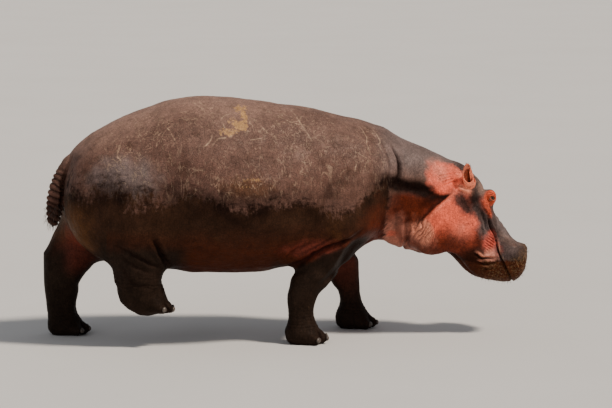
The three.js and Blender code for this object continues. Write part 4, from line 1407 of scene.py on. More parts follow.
def paint_scratches(paint):
    """Healed scars in their places, and where the finest scratches crowd."""
    clay = paint.clay
    x, _, z = paint.points.T
    broken = smooth(-0.55, 0.45, rough(paint.points, 0.022, 58))
    for width, path in SCARS:
        for side in SIDE_NAMES:
            shift = (0, 0, 0) if side == RIGHT else LEFT_SCARS_SHIFT
            places = clay.snapped(curve_through(on_side(side, *path) + shift, SCAR_STEPS))
            paint.cover(paint.stroke(places, width, ragged=0.9, seed=51) * broken, "scar", 0.85)
    for place, radii, strength in BLEMISHES:
        patch = paint.round_patch(on_side(RIGHT, place)[0], radii, 0.8, 0.6, 53)
        paint.sore = np.maximum(paint.sore, patch * strength)
    field = np.full(len(paint.points), 0.22)
    for (mx, mz), (sx, sz), strength in SCRATCH_FIELDS:
        field += strength * np.exp(-(((x - mx) / sx) ** 2) - ((z - mz) / sz) ** 2)
    paint.scratched = np.clip(field, 0, 1) * smooth(0.9, 1.02, z) * smooth(0.74, 0.5, x)


JOWL_STEP_Z = (0.7, 0.753, 0.842, 0.92, 0.959, 0.972)
JOWL_STEP_X = (0.775, 0.825, 0.909, 1.012, 1.058, 1.075)


NECK_BAND = (                  # painted shadow: dark band down the neck behind the cheek (x, outward, z)
    (0.52, 0.37, 1.02), (0.6, 0.33, 1.025), (0.7, 0.28, 1.0), (0.8, 0.25, 0.978),
    (0.88, 0.244, 0.94), (0.95, 0.236, 0.895), (0.98, 0.23, 0.88),
)
# painted shade in the crease at the edge of the shoulder (x, outward, z)
NECK_CREASE = ((0.645, 0.2, 1.2), (0.675, 0.25, 1.12), (0.66, 0.29, 1.04), (0.64, 0.309, 0.985))
THROAT_PATCHES = (             # place (x, outward, z), radii, ragged, edge, seed, colour, strength
    ((0.665, 0.22, 0.68), (0.07, 0.12, 0.085), 0.6, 0.9, 64, "throat", 0.75),
    # a painted highlight on the throat fold
    ((0.65, 0.17, 0.675), (0.034, 0.1, 0.02), 0.6, 0.6, 68, "salmon", 0.6),
)


def paint_neck(paint):
    """Painted grey sheen on top, rust red below, with a band of painted shadow between."""
    p = paint.points
    x, _, z = p.T
    neck = smooth(0.44, 0.72, x + 0.06 * rough(p, 0.1, 61)) * smooth(0.08, -0.05, ahead(p, HEAD_PLANE) - 0.05)
    neck *= smooth(0.45, 0.52, z)
    # a painted grey sheen on top of the neck
    paint.cover(neck * smooth(1.0, 1.16, z), "slate", 0.75)
    lower = smooth(1.0, 0.93, z + 0.03 * rough(p, 0.08, 63)) * neck
    lower *= smooth(0.54, 0.64, x + 0.04 * rough(p, 0.06, 62))
    paint.cover(lower, "rust", 0.97)
    paint.cover(lower * smooth(0.82, 0.68, z + 0.04 * rough(p, 0.06, 65)), "throat", 0.85)
    blotch = lower * smooth(0.1, 0.6, rough(p, 0.05, 66))
    paint.cover(blotch * smooth(0.7, 0.85, z), "soot", 0.5)
    for side in SIDE_NAMES:
        # painted shadow down the neck, and painted shade in the shoulder's crease
        band = paint.stroke(on_side(side, *NECK_BAND), 0.047, 0.45, 67, fade=0.25)
        paint.cover(np.clip(band * 1.5, 0, 1), "soot", 0.97)
        paint.cover(paint.stroke(on_side(side, *NECK_CREASE), 0.02, 0.5, 69), "soot", 0.85)
        for place, radii, ragged, edge, seed, name, strength in THROAT_PATCHES:
            mask = paint.round_patch(on_side(side, place)[0], radii, ragged, edge, seed)
            paint.cover(mask, name, strength)


def paint_jowl_shadow(paint):
    """Painted shadow in the hollow behind the step of the jowl: black above and rust red below."""
    p = paint.points
    x, y, z = p.T
    edge = np.interp(z, JOWL_STEP_Z, JOWL_STEP_X) + 0.006 * rough(p, 0.03, 121)
    behind = smooth(0.004, -0.012, x - edge) * smooth(-0.17, -0.1, x - edge)
    behind *= smooth(0.72, 0.77, z) * smooth(0.945, 0.915, z) * smooth(0.13, 0.17, np.abs(y))
    paint.cover(behind, "rust", 0.9)
    paint.cover(behind * smooth(0.84, 0.92, z + 0.02 * rough(p, 0.05, 122)), "soot", 0.95)


# Middle and radii in millimetres on the head's axes, ragged, edge, seed, colour, strength.
HEAD_PATCHES = (
    # nape behind the ear, brow and bridge
    ((-322, 150, -186), (122, 120, 96), 0.35, 0.3, 73, "salmon", 0.97),
    ((-230, 170, -120), (75, 70, 62), 0.25, 0.4, 74, "salmon", 0.95),
    ((-262, 140, -92), (105, 110, 52), 0.3, 0.35, 62, "salmon", 0.97),
    ((-380, 150, -160), (70, 100, 60), 0.6, 0.7, 72, "throat", 0.55),
    # a painted highlight on the nape
    ((-255, 160, -66), (60, 90, 26), 0.4, 0.6, 61, "apricot", 0.3),
    ((-105, 60, -10), (95, 130, 42), 0.4, 0.6, 60, "dust", 0.9),
    # a painted sheen on the bridge of the nose
    ((190, 60, -40), (130, 120, 42), 0.6, 0.7, 57, "slate", 0.7),
    # painted reflections on top of the muzzle
    ((300, 110, -70), (60, 80, 36), 0.9, 0.6, 56, "dust", 0.35),
    # cheek and jowl
    ((-60, 190, -330), (190, 120, 180), 0.14, 0.16, 75, "salmon", 1.0),
    ((-150, 185, -195), (95, 80, 85), 0.2, 0.3, 76, "salmon", 0.95),
    ((30, 180, -330), (70, 90, 90), 0.6, 0.8, 70, "throat", 0.45),
    ((-80, 110, -520), (160, 130, 85), 0.35, 0.5, 77, "throat", 0.7),
    # rust red low on cheek and jowl: reddish hide, darker towards the bottom as painted shade
    ((-40, 130, -590), (210, 130, 80), 0.3, 0.6, 78, "rust", 0.8),
    ((50, 150, -455), (150, 130, 105), 0.4, 0.7, 79, "rust", 0.92),
    ((128, 160, -320), (88, 120, 105), 0.35, 0.7, 69, "rust", 0.85),
    ((130, 180, -225), (70, 100, 60), 0.4, 0.7, 59, "rust", 0.7),
    ((15, 190, -405), (95, 90, 62), 0.5, 0.7, 54, "rust", 0.75),
    ((-165, 195, -490), (95, 80, 60), 0.5, 0.5, 80, "apricot", 0.95),
    # the temple, and the dark streak under the eye
    ((-122, 190, -172), (92, 80, 48), 0.5, 0.5, 82, "muzzle", 0.92),
    ((-128, 190, -170), (70, 80, 34), 0.6, 0.7, 53, "soot", 0.6),
    ((-75, 180, -98), (62, 70, 40), 0.35, 0.6, 81, "soot", 0.86),
    ((-100, 190, -142), (72, 70, 36), 0.5, 0.7, 68, "soot", 0.62),
    ((20, 195, -128), (80, 60, 38), 0.5, 0.7, 83, "muzzle", 0.8),
    ((10, 195, -112), (50, 60, 22), 0.5, 0.7, 58, "soot", 0.6),
    ((100, 195, -178), (60, 60, 40), 0.5, 0.6, 84, "slate", 0.7),
    ((100, 190, -200), (40, 60, 26), 0.6, 0.6, 67, "soot", 0.35),
    # lower jaw and chin
    ((215, 110, -350), (110, 140, 80), 0.35, 0.5, 85, "jaw", 0.95),
    ((300, 100, -350), (130, 150, 90), 0.35, 0.45, 86, "jaw", 0.97),
    ((400, 90, -300), (100, 150, 70), 0.5, 0.5, 87, "olive", 0.85),
    ((350, 150, -250), (70, 90, 36), 0.5, 0.6, 88, "olive", 0.7),
    # muzzle, with a painted grey sheen on its side
    ((345, 190, -110), (75, 90, 50), 0.6, 0.6, 89, "slate", 0.3),
    ((385, 185, -105), (52, 90, 66), 0.6, 0.7, 66, "soot", 0.6),
    # folds at the corner of the mouth
    ((198, 165, -184), (70, 60, 52), 0.4, 0.6, 92, "gum", 0.97),
    ((150, 180, -150), (26, 50, 16), 0.4, 0.5, 64, "gum", 0.9),
    ((262, 160, -235), (52, 60, 42), 0.4, 0.5, 93, "throat", 0.75),
)
LID_STROKES = (                # the pouch that narrows down below the eye: width, places in millimetres
    (0.026, (-50, 190, -34), (-14, 192, -50), (16, 188, -60)),
    (0.015, (-6, 188, -54), (22, 186, -64), (42, 186, -71), (58, 188, -80)),
)
LASH_LINES = (                 # how far outside the slit, width, above or below it, colour, strength
    (0.0035, 0.0022, (0.01, -0.01), "apricot", 0.7),
    (0.0002, 0.0016, None, "fold", 0.85),
    (0.0155, 0.004, (-0.004, 0.01), "salmon", 0.55),
)
HEAD_STROKES = (               # places in millimetres, width, ragged, seed, fade, boost, colour, strength
    (((224, 122, -128), (268, 142, -157), (313, 169, -177), (361, 186, -192), (410, 188, -203),
      (452, 168, -207), (486, 122, -201)), 0.005, 0.3, 97, 0.3, 1.5, "lip", 0.9),
    # painted highlights on the ridges beside the folds back from the mouth
    (((172, 190, -300), (196, 188, -290), (214, 184, -287), (248, 176, -277), (286, 166, -228)),
     0.008, 0.4, 98, 0.5, 1.4, "apricot", 0.8),
    (((236, 174, -324), (270, 168, -299), (303, 166, -270)), 0.008, 0.4, 98, 0.5, 1.4, "apricot", 0.8),
    # a painted highlight on the roll under the ear
    (((-240, 184, -118), (-190, 190, -104), (-140, 190, -78)), 0.02, 0.4, 99, 0.5, 1.4, "apricot", 0.8),
)
# a painted highlight along the edge of the jowl (x, outward, z)
JOWL_EDGE_LINE = ((1.05, 0.2, 0.945), (1.005, 0.223, 0.905), (0.915, 0.251, 0.832), (0.84, 0.251, 0.755))


def paint_eye(paint, side):
    """The mound of the eye with the pouch below it, and the edges of its lids."""
    p = paint.points
    eye = eye_at(side)
    gap = np.linalg.norm(p - eye, axis=1)
    paint.cover(1 - smooth(0.042, 0.056, gap + 0.008 * rough(p, 0.02, 95)), "lid", 0.97)
    for width, *places in LID_STROKES:
        stroke = paint.stroke(on_head(side, *places), width, 0.25, 96, 0.3)
        paint.cover(np.clip(1.6 * stroke, 0, 1), "lid", 0.97)
    paint.cover(paint.head_patch(side, (20, 188, -60), (46, 60, 26), 0.5, 0.6, 55), "rust", 0.4)
    index = paint.clay.around(eye, 0.06)
    width, _, t, _ = slit_width(p[index], side)
    for at, wide, part, name, strength in LASH_LINES:
        mask = np.zeros(len(p))
        mask[index] = hump(width - at, wide) * (smooth(*part, t) if part else 1)
        paint.cover(mask, name, strength)


def paint_head(paint):
    """Salmon cheeks and nape, dark temples, a painted grey sheen on the nose, muddy lips, painted highlights
    and shade.
    """
    p = paint.points
    head = smooth(-0.05, 0.03, ahead(p, HEAD_PLANE) + 0.02 * rough(p, 0.06, 71))
    paint.cover(head, "muzzle")
    forward, _, up = paint.on_head
    tip = smooth(335, 420, forward + 45 * rough(p, 0.05, 123)) * smooth(-205, -185, up) * head
    paint.mud = np.maximum(paint.mud, tip)
    paint.cover(tip, "mud", 0.5)
    for side in SIDE_NAMES:
        for *where, name, strength in HEAD_PATCHES:
            paint.cover(paint.head_patch(side, *where), name, strength)
        chin = paint.head_patch(side, (400, 110, -285), (120, 150, 70), 0.5, 0.6, 65)
        paint.mud = np.maximum(paint.mud, 0.9 * chin)
        paint_eye(paint, side)
    for side in SIDE_NAMES:
        for places, width, ragged, seed, fade, boost, name, strength in HEAD_STROKES:
            mask = paint.stroke(on_head(side, *places), width, ragged, seed, fade)
            paint.cover(np.clip(boost * mask, 0, 1), name, strength)
        # a painted highlight along the edge of the jowl
        edge = paint.stroke(on_side(side, *JOWL_EDGE_LINE), 0.018, 0.5, 94, fade=0.3)
        paint.cover(edge, "apricot", 0.45)
    ear = paint.clay.ear
    paint.cover(smooth(0.0, 1e-3, ear), "ear", 0.95)
    paint.cover(smooth(0.2, 0.7, ear), "ear_hollow", 0.97)


def paint_speckles(paint):
    """Freckles on the pink hide, and painted shade in every fold."""
    p = paint.points
    head = smooth(-0.3, -0.1, ahead(p, HEAD_PLANE))
    spots = smooth(0.4, 0.65, rough(p, 0.014, 111, 2)) * smooth(-0.3, 0.3, grain(p, 0.07, 113))
    paint.cover(spots * head, "soot", 0.5)
    red = smooth(0.2, 0.8, rough(p, 0.035, 112, 3)) * head
    paint.cover(red, "rust", 0.22)
    # painted shade in every fold, pit and gap
    paint.cover_both(paint.clay.fold, "fold", 0.9)
    tone = (1 + 0.18 * rough(p, 0.1, 115) + 0.14 * rough(p, 0.025, 117))[:, None]
    paint.colours = np.clip(paint.colours * tone, 0, 1)
    paint.low_colours = np.clip(paint.low_colours * tone, 0, 1)


# ---------------------------------------------------------------- finishes


class Nodes:
    """Short ways to make a material's nodes."""

    def __init__(self, name):
        self.material = bpy.data.materials.new(name)
        self.material.use_nodes = True
        self.tree = self.material.node_tree
        self.shader = self.tree.nodes["Principled BSDF"]

    def add(self, kind, inputs=None, **values):
        node = self.tree.nodes.new(kind)
        for key, value in values.items():
            setattr(node, key, value)
        for socket, value in (inputs or {}).items():
            self.feed(value, node, socket)
        return node

    def feed(self, value, node, socket):
        """Links another node's output to a socket, or sets the socket's own value."""
        if isinstance(value, bpy.types.NodeSocket):
            self.tree.links.new(value, node.inputs[socket])
        else:
            node.inputs[socket].default_value = value

    def shade(self, **inputs):
        for name, value in inputs.items():
            self.feed(value, self.shader, name.replace("_", " "))

    def place(self, scale=(1, 1, 1), turn=(0, 0, 0)):
        """Object coordinates, turned and stretched."""
        where = self.add("ShaderNodeTexCoord").outputs["Object"]
        inputs = {"Scale": scale, "Rotation": turn, "Vector": where}
        return self.add("ShaderNodeMapping", inputs).outputs["Vector"]

    def noise(self, vector, scale, detail=3.0, roughness=0.55, distortion=0.0, output="Fac"):
        inputs = {"Scale": scale, "Detail": detail, "Roughness": roughness, "Distortion": distortion}
        return self.add("ShaderNodeTexNoise", {**inputs, "Vector": vector}).outputs[output]

    def cells(self, vector, scale):
        """Distance from the nearest edge between random cells."""
        inputs = {"Scale": scale, "Vector": vector}
        return self.add("ShaderNodeTexVoronoi", inputs, feature="DISTANCE_TO_EDGE").outputs["Distance"]

    def span(self, value, low, high, to_low=0.0, to_high=1.0):
        inputs = {"From Min": low, "From Max": high, "To Min": to_low, "To Max": to_high, "Value": value}
        return self.add("ShaderNodeMapRange", inputs).outputs["Result"]

    def calc(self, operation, first, *others):
        """A sum, a product and so on of two or more values."""
        for other in others:
            first = self.add("ShaderNodeMath", {0: first, 1: other}, operation=operation).outputs[0]
        return first

    def mix(self, factor, *colours):
        """Two colours mixed; each is an output or three numbers."""
        inputs = {"Factor": factor}
        for socket, value in zip((6, 7), colours):
            inputs[socket] = value if isinstance(value, bpy.types.NodeSocket) else (*value, 1)
        return self.add("ShaderNodeMix", inputs, data_type="RGBA").outputs[2]

    def attribute(self, name, output="Fac"):
        return self.add("ShaderNodeAttribute", attribute_name=name).outputs[output]

    def bump(self, *layers):
        """Bumps on top of each other: (height, strength, distance)."""
        last = {}
        for height, strength, distance in layers:
            inputs = {"Strength": strength, "Distance": distance, "Height": height, **last}
            last = {"Normal": self.add("ShaderNodeBump", inputs).outputs["Normal"]}
        self.shade(**last)


def brighter(tint, times):
    return tuple(times * v for v in tint)


SCRATCH_LAYERS = (             # scale, stretch, turn, half width and threshold of each layer of lines
    (9.0, (1, 1, 0.3), (0.1, 0.35, 0.1), 0.013, 0.54),
    (14.0, (1, 1, 0.22), (0.2, -0.5, 0.3), 0.018, 0.52),
    (17.0, (0.3, 1, 1), (0.1, 0.6, 0.2), 0.019, 0.56),
    (26.0, (1, 1, 0.22), (0.3, 0.1, 0.6), 0.026, 0.51),
    (34.0, (1, 1, 0.28), (0.2, 0.9, 0.2), 0.032, 0.53),
    (44.0, (1, 1, 0.2), (0.5, -0.2, 0.9), 0.036, 0.5),
)


def scratches(n, plain, scratched):
    """Hair-thin curved lines: short pieces of the contour lines of stretched noise."""
    lines = []
    for scale, stretch, turn, wide, gate in SCRATCH_LAYERS:
        hill = n.noise(n.place(stretch, turn), scale, 1.0, 0.4, 0.3)
        contour = n.span(n.calc("ABSOLUTE", n.calc("SUBTRACT", hill, 0.5), 0.0), wide, wide * 0.25)
        piece = n.span(n.noise(n.place((1, 1, 0.7), turn), scale * 0.8, 1.0), gate, gate + 0.05)
        crowd = n.span(n.noise(plain, 4.0 + scale * 0.2, 2.0), 0.4, 0.6)
        lines.append(n.calc("MULTIPLY", contour, piece, crowd))
    return n.calc("MULTIPLY", n.calc("MAXIMUM", *lines), scratched)


def hide_finish():
    """Bare hide: painted colour, scratches, mud, creases, wet below the waterline and dry above."""
    c = settings().colours
    n = Nodes("hide")
    above, below = (n.attribute(name, "Color") for name in ("hide_colour", "hide_low"))
    line, wet, mud, scratched, sore = (n.attribute(f"hide_{name}") for name in LAYERS)
    plain = n.place()
    # the ragged waterline
    ragged = n.calc("ADD", n.span(n.noise(plain, 7.0, 6.0, 0.7), 0.25, 0.75, -0.3, 0.3),
                    n.span(n.noise(n.place((1, 1, 0.4)), 46.0, 4.0, 0.75), 0.25, 0.75, -0.26, 0.26))
    base = n.mix(n.span(n.calc("ADD", line, ragged), 0.4, 0.66), below, above)
    # dark smudges along the waterline: painted shade where the lower body turns from the light, on wet hide
    smudge = n.span(n.noise(n.place((0.5, 1, 1.3)), 22.0, 5.0, 0.7), 0.52, 0.62)
    near_line = n.calc("MULTIPLY", n.span(line, 1.0, 0.62), n.span(line, 0.2, 0.5))
    base = n.mix(n.calc("MULTIPLY", smudge, near_line, 0.7), base, c.soot)
    base = n.mix(n.calc("MULTIPLY", scratches(n, plain, scratched), 0.45), base, c.scar)
    torn = n.calc("ADD", sore, n.span(n.noise(n.place((1, 1, 0.45)), 55.0, 5.0, 0.75), 0.3, 0.7, -0.45, 0.45))
    base = n.mix(n.span(torn, 0.4, 0.74, 0.0, 0.82), base, c.blemish)
    # mud dries in crumbs
    crumbs = n.span(n.noise(plain, 85.0, 4.0, 0.75), 0.5, 0.58)
    base = n.mix(n.calc("MULTIPLY", crumbs, mud, 0.8), base, brighter(c.mud, 1.5))
    dark_crumbs = n.span(n.noise(n.place(turn=(1, 2, 3)), 70.0, 4.0, 0.75), 0.54, 0.62)
    base = n.mix(n.calc("MULTIPLY", dark_crumbs, mud, 0.8), base, c.olive)
    # unevenness of tone, coarse and fine
    cloudy = n.span(n.noise(plain, 12.0, 6.0, 0.7), 0.3, 0.7, 0.74, 1.24)
    speckle = n.span(n.noise(plain, 130.0, 4.0, 0.75), 0.3, 0.7, 0.76, 1.22)
    streaks = n.span(n.noise(n.place((1, 1, 0.1)), 95.0, 3.0, 0.65), 0.3, 0.7, 0.84, 1.16)
    # the crazed pattern of fine creases, darker at the bottom
    bent = n.noise(plain, 26.0, 3.0, 0.5, output="Color")
    inputs = {0: bent, 1: (0.035, 0.035, 0.035), 2: plain}
    warp = n.add("ShaderNodeVectorMath", inputs, operation="MULTIPLY_ADD").outputs["Vector"]
    crazed = n.span(n.cells(warp, 85.0), 0.0, 0.16)
    wide_crazed = n.span(n.cells(warp, 36.0), 0.0, 0.1)
    tone = n.calc("MULTIPLY", cloudy, speckle, streaks,
                  n.span(crazed, 0, 1, 0.74, 1.0), n.span(wide_crazed, 0, 1, 0.76, 1.0))
    shade = n.add("ShaderNodeVectorMath", {"Vector": base, "Scale": tone}, operation="SCALE")
    patchy = n.noise(plain, 14.0)
    n.shade(
        Base_Color=shade.outputs["Vector"],
        Roughness=n.calc("ADD", n.span(wet, 0.0, 1.0, 0.58, 0.52), n.span(patchy, 0.3, 0.7, -0.07, 0.09)),
    )
    n.bump((crazed, 0.45, 0.0012), (wide_crazed, 0.45, 0.0024),
           (n.noise(plain, 200.0, 4.0, 0.7), 0.35, 0.001))
    # dark hide is matt: little light glances off it
    grey = n.add("ShaderNodeRGBToBW", {"Color": base}).outputs["Val"]
    n.shade(Specular_IOR_Level=n.span(grey, 0.01, 0.12, 0.03, 0.24))
    return n.material


def eye_finish():
    """Dark wet eye: brown iris round a level pupil, reddish white at the rim."""
    c = settings().colours
    n = Nodes("eye")
    ring = n.attribute("eye_ring")
    fibre = n.noise(n.place(), 900.0, 4.0, 0.7)
    iris = n.mix(n.span(fibre, 0.35, 0.65), c.iris, brighter(c.iris, 2.2))
    dark = n.mix(n.span(ring, 0.0, 0.08), (0.003, 0.002, 0.002), iris)
    white = n.mix(n.span(ring, 0.74, 0.86), dark, (0.2, 0.1, 0.07))
    n.shade(Base_Color=white, Roughness=n.span(fibre, 0.3, 0.7, 0.06, 0.12), IOR=1.38)
    return n.material


def nail_finish():
    """Worn, ridged horn."""
    c = settings().colours
    n = Nodes("nail")
    ridges = n.noise(n.place((140, 140, 30)), 1.0)
    grime = n.noise(n.place(), 60.0)
    horn = n.mix(n.span(ridges, 0.35, 0.65), c.nail, brighter(c.nail, 1.8))
    dirty = n.mix(n.span(grime, 0.45, 0.7), horn, c.leg)
    n.shade(Base_Color=dirty, Roughness=n.span(grime, 0.3, 0.7, 0.34, 0.6))
    n.bump((ridges, 0.4, 0.001))
    return n.material


def bristle_finish():
    """Stiff dark hair, in lighter and darker parts."""
    c = settings().colours
    n = Nodes("bristle")
    tone = n.span(n.noise(n.place(), 160.0, 2.0), 0.35, 0.65)
    n.shade(Base_Color=n.mix(tone, c.bristle, brighter(c.bristle, 2.6)), Roughness=0.45)
    return n.material


# ---------------------------------------------------------------- operators


class HIPPO_OT_skin(bpy.types.Operator):
    """Grows one skin from the solids of the flesh, shapes its folds and lays on its colours"""

    bl_idname = "hippo.skin"
    bl_label = "Skin"

    def execute(self, context):
        shape = settings().shape
        mesh = base_skin(shape.cell)
        refine_face(mesh)
        clay = Clay(mesh)
        clay.relax(0.5, 3, hold=False)
        for press in (press_trunk, shift_legs, free_foreleg, press_tail, fit_toes, press_legs):
            press(clay)
        for side in SIDE_NAMES:
            for press in (press_face, open_eye, open_nostril):
                press(clay, side)
        clay.relax(0.35, 1, hold=False)
        for side in SIDE_NAMES:
            raise_ear(clay, side)
        rough_up(clay)
        keep_in_box(clay)
        clay.write()
        paint = Paint(clay)
        for lay in (paint_body, paint_neck, paint_scratches, paint_head, paint_jowl_shadow, paint_speckles):
            lay(paint)
        for name, tints in (("hide_colour", paint.colours), ("hide_low", paint.low_colours)):
            rgba = np.ones((len(clay.points), 4))
            rgba[:, :3] = tints
            mesh.attributes.new(name, "FLOAT_COLOR", "POINT").data.foreach_set("color", rgba.ravel())
        for name in LAYERS:
            values = getattr(paint, name)
            mesh.attributes.new(f"hide_{name}", "FLOAT", "POINT").data.foreach_set("value", values)
        mesh.name = "hide"
        finish_piece(add_object("hide", mesh), hide_finish(), "hide", *FLESH)
        return {"FINISHED"}


CORNEA_RISE = 0.055            # how far the cornea bulges, as a share of the eyeball's radius
CORNEA_REACH = 0.45            # angles from the middle of the pupil
IRIS_EDGE = 0.95


class HIPPO_OT_eyes(bpy.types.Operator):
    """Makes both eyeballs, with a bulging cornea, iris and pupil"""

    bl_idname = "hippo.eyes"
    bl_label = "Eyes"

    def execute(self, context):
        material = eye_finish()
        for side, name in SIDE_NAMES.items():
            eye, out = eye_at(side), eye_axes(side)[0]
            ball = bmesh.new()
            bmesh.ops.create_uvsphere(ball, u_segments=40, v_segments=28, radius=settings().shape.eye_radius)
            for vert in ball.verts:
                edge = math.acos(max(-1, min(1, vert.co.normalized().z)))
                vert.co *= 1 + CORNEA_RISE * math.exp(-((edge / CORNEA_REACH) ** 2))
            turn = Vector((0, 0, 1)).rotation_difference(Vector(out)).to_matrix().to_4x4()
            ball.transform(Matrix.Translation(eye) @ turn)
            mesh = bpy.data.meshes.new(f"eyeball_{name}")
            ball.to_mesh(mesh)
            ball.free()
            # the pupil is longer from front to back than it is high
            rel = points_of(mesh) - eye
            rel /= np.linalg.norm(rel, axis=1)[:, None]
            level = rel @ HEAD_FORWARD - (rel @ out) * (HEAD_FORWARD @ out)
            from_axis = np.arccos(np.clip(rel @ out, -1, 1))
            pupil = 0.2 + 0.17 * (np.abs(level) / np.maximum(np.sin(from_axis), 1e-6)) ** 2
            ring = np.clip((from_axis - pupil) / (IRIS_EDGE - pupil), 0, 1)
            mesh.attributes.new("eye_ring", "FLOAT", "POINT").data.foreach_set("value", ring)
            finish_piece(add_object(f"eyeball_{name}", mesh), material, "eye", f"eye_{name}")
        return {"FINISHED"}


class HIPPO_OT_nails(bpy.types.Operator):
    """Makes the four rounded nails of each foot"""

    bl_idname = "hippo.nails"
    bl_label = "Nails"

    def execute(self, context):
        material = nail_finish()
        for leg in LEG_NAMES:
            for toe in range(1, TOES_PER_FOOT + 1):
                node = f"nail_{leg}_{toe}"
                horn = bmesh.new()
                horn.from_mesh(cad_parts[node].data)
                bmesh.ops.remove_doubles(horn, verts=horn.verts, dist=WELD)
                mesh = bpy.data.meshes.new(f"horn_{leg}_{toe}")
                horn.to_mesh(mesh)
                horn.free()
                piece = add_object(f"horn_{leg}_{toe}", mesh)
                piece.data = with_modifier(piece, "SUBSURF", levels=2, render_levels=2)
                finish_piece(piece, material, "nail", node)
        return {"FINISHED"}


UV_PATCH = 0.003               # how wide each hair is on the unwrap
HAIR_SPAN = 0.1                # the part of the frame, in metres, that is laid over that patch
UNWRAP_HEIGHT = 0.85           # the unwrap goes round the body about a line at this height
UNWRAP_EDGE = 0.01


def hide_unwrap(point):
    """Where a point lies on an unwrap that goes round the body: along the body and round it."""
    low, high = CAD_BOX
    along = (point[0] - low[0]) / (high[0] - low[0])
    around = math.atan2(point[1], point[2] - UNWRAP_HEIGHT) / (2 * math.pi) + 0.5
    return [UNWRAP_EDGE + (1 - 2 * UNWRAP_EDGE) * value for value in (along, around)]


HAIR_RINGS = 5
HAIR_SIDES = 3
HAIR_TAPER = 0.75              # how much thinner a hair gets towards its tip


def bristle_mesh(name, hairs):
    """Thin curved cones, one for each (root, direction, length, droop), joined into one mesh."""
    radius = settings().shape.bristle
    points, faces, roots = [], [], []
    turns = [2 * math.pi * turn / HAIR_SIDES for turn in range(HAIR_SIDES)]
    for root, way, reach, droop in hairs:
        way = unit(way)
        side = unit(np.cross(way, (0.31, 0.77, 0.55)))
        other = np.cross(way, side)
        first = len(points)
        for ring in range(HAIR_RINGS):
            t = ring / HAIR_RINGS
            spot = root + way * reach * t + np.array([0, 0, -droop * reach * t * t])
            thick = radius * (1 - t * HAIR_TAPER)
            points += [spot + (side * math.cos(turn) + other * math.sin(turn)) * thick for turn in turns]
        points.append(root + way * reach + np.array([0, 0, -droop * reach]))
        roots += [root] * (len(points) - first)
        for ring in range(HAIR_RINGS - 1):
            for turn in range(HAIR_SIDES):
                a = first + ring * HAIR_SIDES + turn
                b = first + ring * HAIR_SIDES + (turn + 1) % HAIR_SIDES
                faces.append((a, b, b + HAIR_SIDES, a + HAIR_SIDES))
        last = first + (HAIR_RINGS - 1) * HAIR_SIDES
        tip = len(points) - 1
        faces += [(last + turn, last + (turn + 1) % HAIR_SIDES, tip) for turn in range(HAIR_SIDES)]
        faces.append((first + 2, first + 1, first))
    mesh = mesh_of(name, points, faces)
    layer = mesh.uv_layers.new(name="OFBake")
    for loop in mesh.loops:
        root = roots[loop.vertex_index]
        shift = mesh.vertices[loop.vertex_index].co - Vector(root)
        layer.data[loop.index].uv = [
            at + UV_PATCH * (part % HAIR_SPAN) / HAIR_SPAN
            for at, part in zip(hide_unwrap(root), (shift.x, shift.z))
        ]
    return mesh


def skin_spots(box, rng, count, facing=None):
    """Random points of the skin inside a box, with their normals."""
    skin = bpy.data.objects["hide"].data
    points = points_of(skin)
    flat = np.empty(len(points) * 3)
    skin.vertex_normals.foreach_get("vector", flat)
    normals = flat.reshape(-1, 3)
    inside = within(points, box)
    if facing is not None:
        inside &= facing(points, normals)
    index = np.flatnonzero(inside)
    if not len(index):
        raise RuntimeError("no skin to set bristles on")
    chosen = rng.choice(index, min(count, len(index)), replace=False)
    return zip(points[chosen], normals[chosen])


TAIL_HAIRS = 260
EAR_HAIRS = 130                # on each ear
MUZZLE_HAIRS = 260


class HIPPO_OT_bristles(bpy.types.Operator):
    """Sets stiff hairs on the tail, the ears and the muzzle"""

    bl_idname = "hippo.bristles"
    bl_label = "Bristles"

    def execute(self, context):
        rng = np.random.default_rng(3)
        material = bristle_finish()
        low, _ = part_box("tail")
        tip = ((low[0], -0.06, low[2]), (-1.44, 0.06, low[2] + 0.16))
        tail = [
            (root - normal * 0.002, normal * 0.55 + np.array([-0.05, 0, -0.8]) + rng.normal(0, 0.12, 3),
             rng.uniform(0.025, 0.05), 0.2)
            for root, normal in skin_spots(tip, rng, TAIL_HAIRS)
        ]
        ears = []
        for side in SIDE_NAMES:
            axis, opens, _ = ear_axes(side)
            root_at = on_head(side, EAR_AT)[0]
            box = (root_at - 0.09, root_at + (0.09, 0.09, 0.16))
            top = lambda p, n: ((p - root_at) @ axis > 0.055) & (n @ opens > -0.6)
            ears += [
                (root - normal * 0.001, normal * 0.5 + axis * 0.6 + opens * 0.2 + rng.normal(0, 0.15, 3),
                 rng.uniform(0.008, 0.018), 0.1)
                for root, normal in skin_spots(box, rng, EAR_HAIRS, top)
            ]
        front = on_head(RIGHT, (430, 0, -130))[0]
        on_lip = lambda p, n: (n @ HEAD_FORWARD > -0.2) & (in_head(p)[0] > 330)
        muzzle = [
            (root - normal * 0.001, normal + rng.normal(0, 0.2, 3), rng.uniform(0.01, 0.024), 0.25)
            for root, normal in skin_spots((front - 0.26, front + 0.26), rng, MUZZLE_HAIRS, on_lip)
        ]
        for name, hairs in (("tail_bristles", tail), ("ear_bristles", ears), ("muzzle_bristles", muzzle)):
            finish_piece(add_object(name, bristle_mesh(name, hairs)), material, "hide")
        return {"FINISHED"}


FLOOR_HALF = 60.0              # half the width of the floor
SENSOR_WIDTH = 36              # millimetres
LAMPS = (                      # name, share of the key light's strength, direction, spread in degrees, tint
    ("key", 1.0, (-0.62, 0.42, -0.95), 9, (1.0, 0.9, 0.78)),
    ("fill", 0.1, (0.7, 0.9, -0.35), 40, (0.92, 0.95, 1.0)),
)


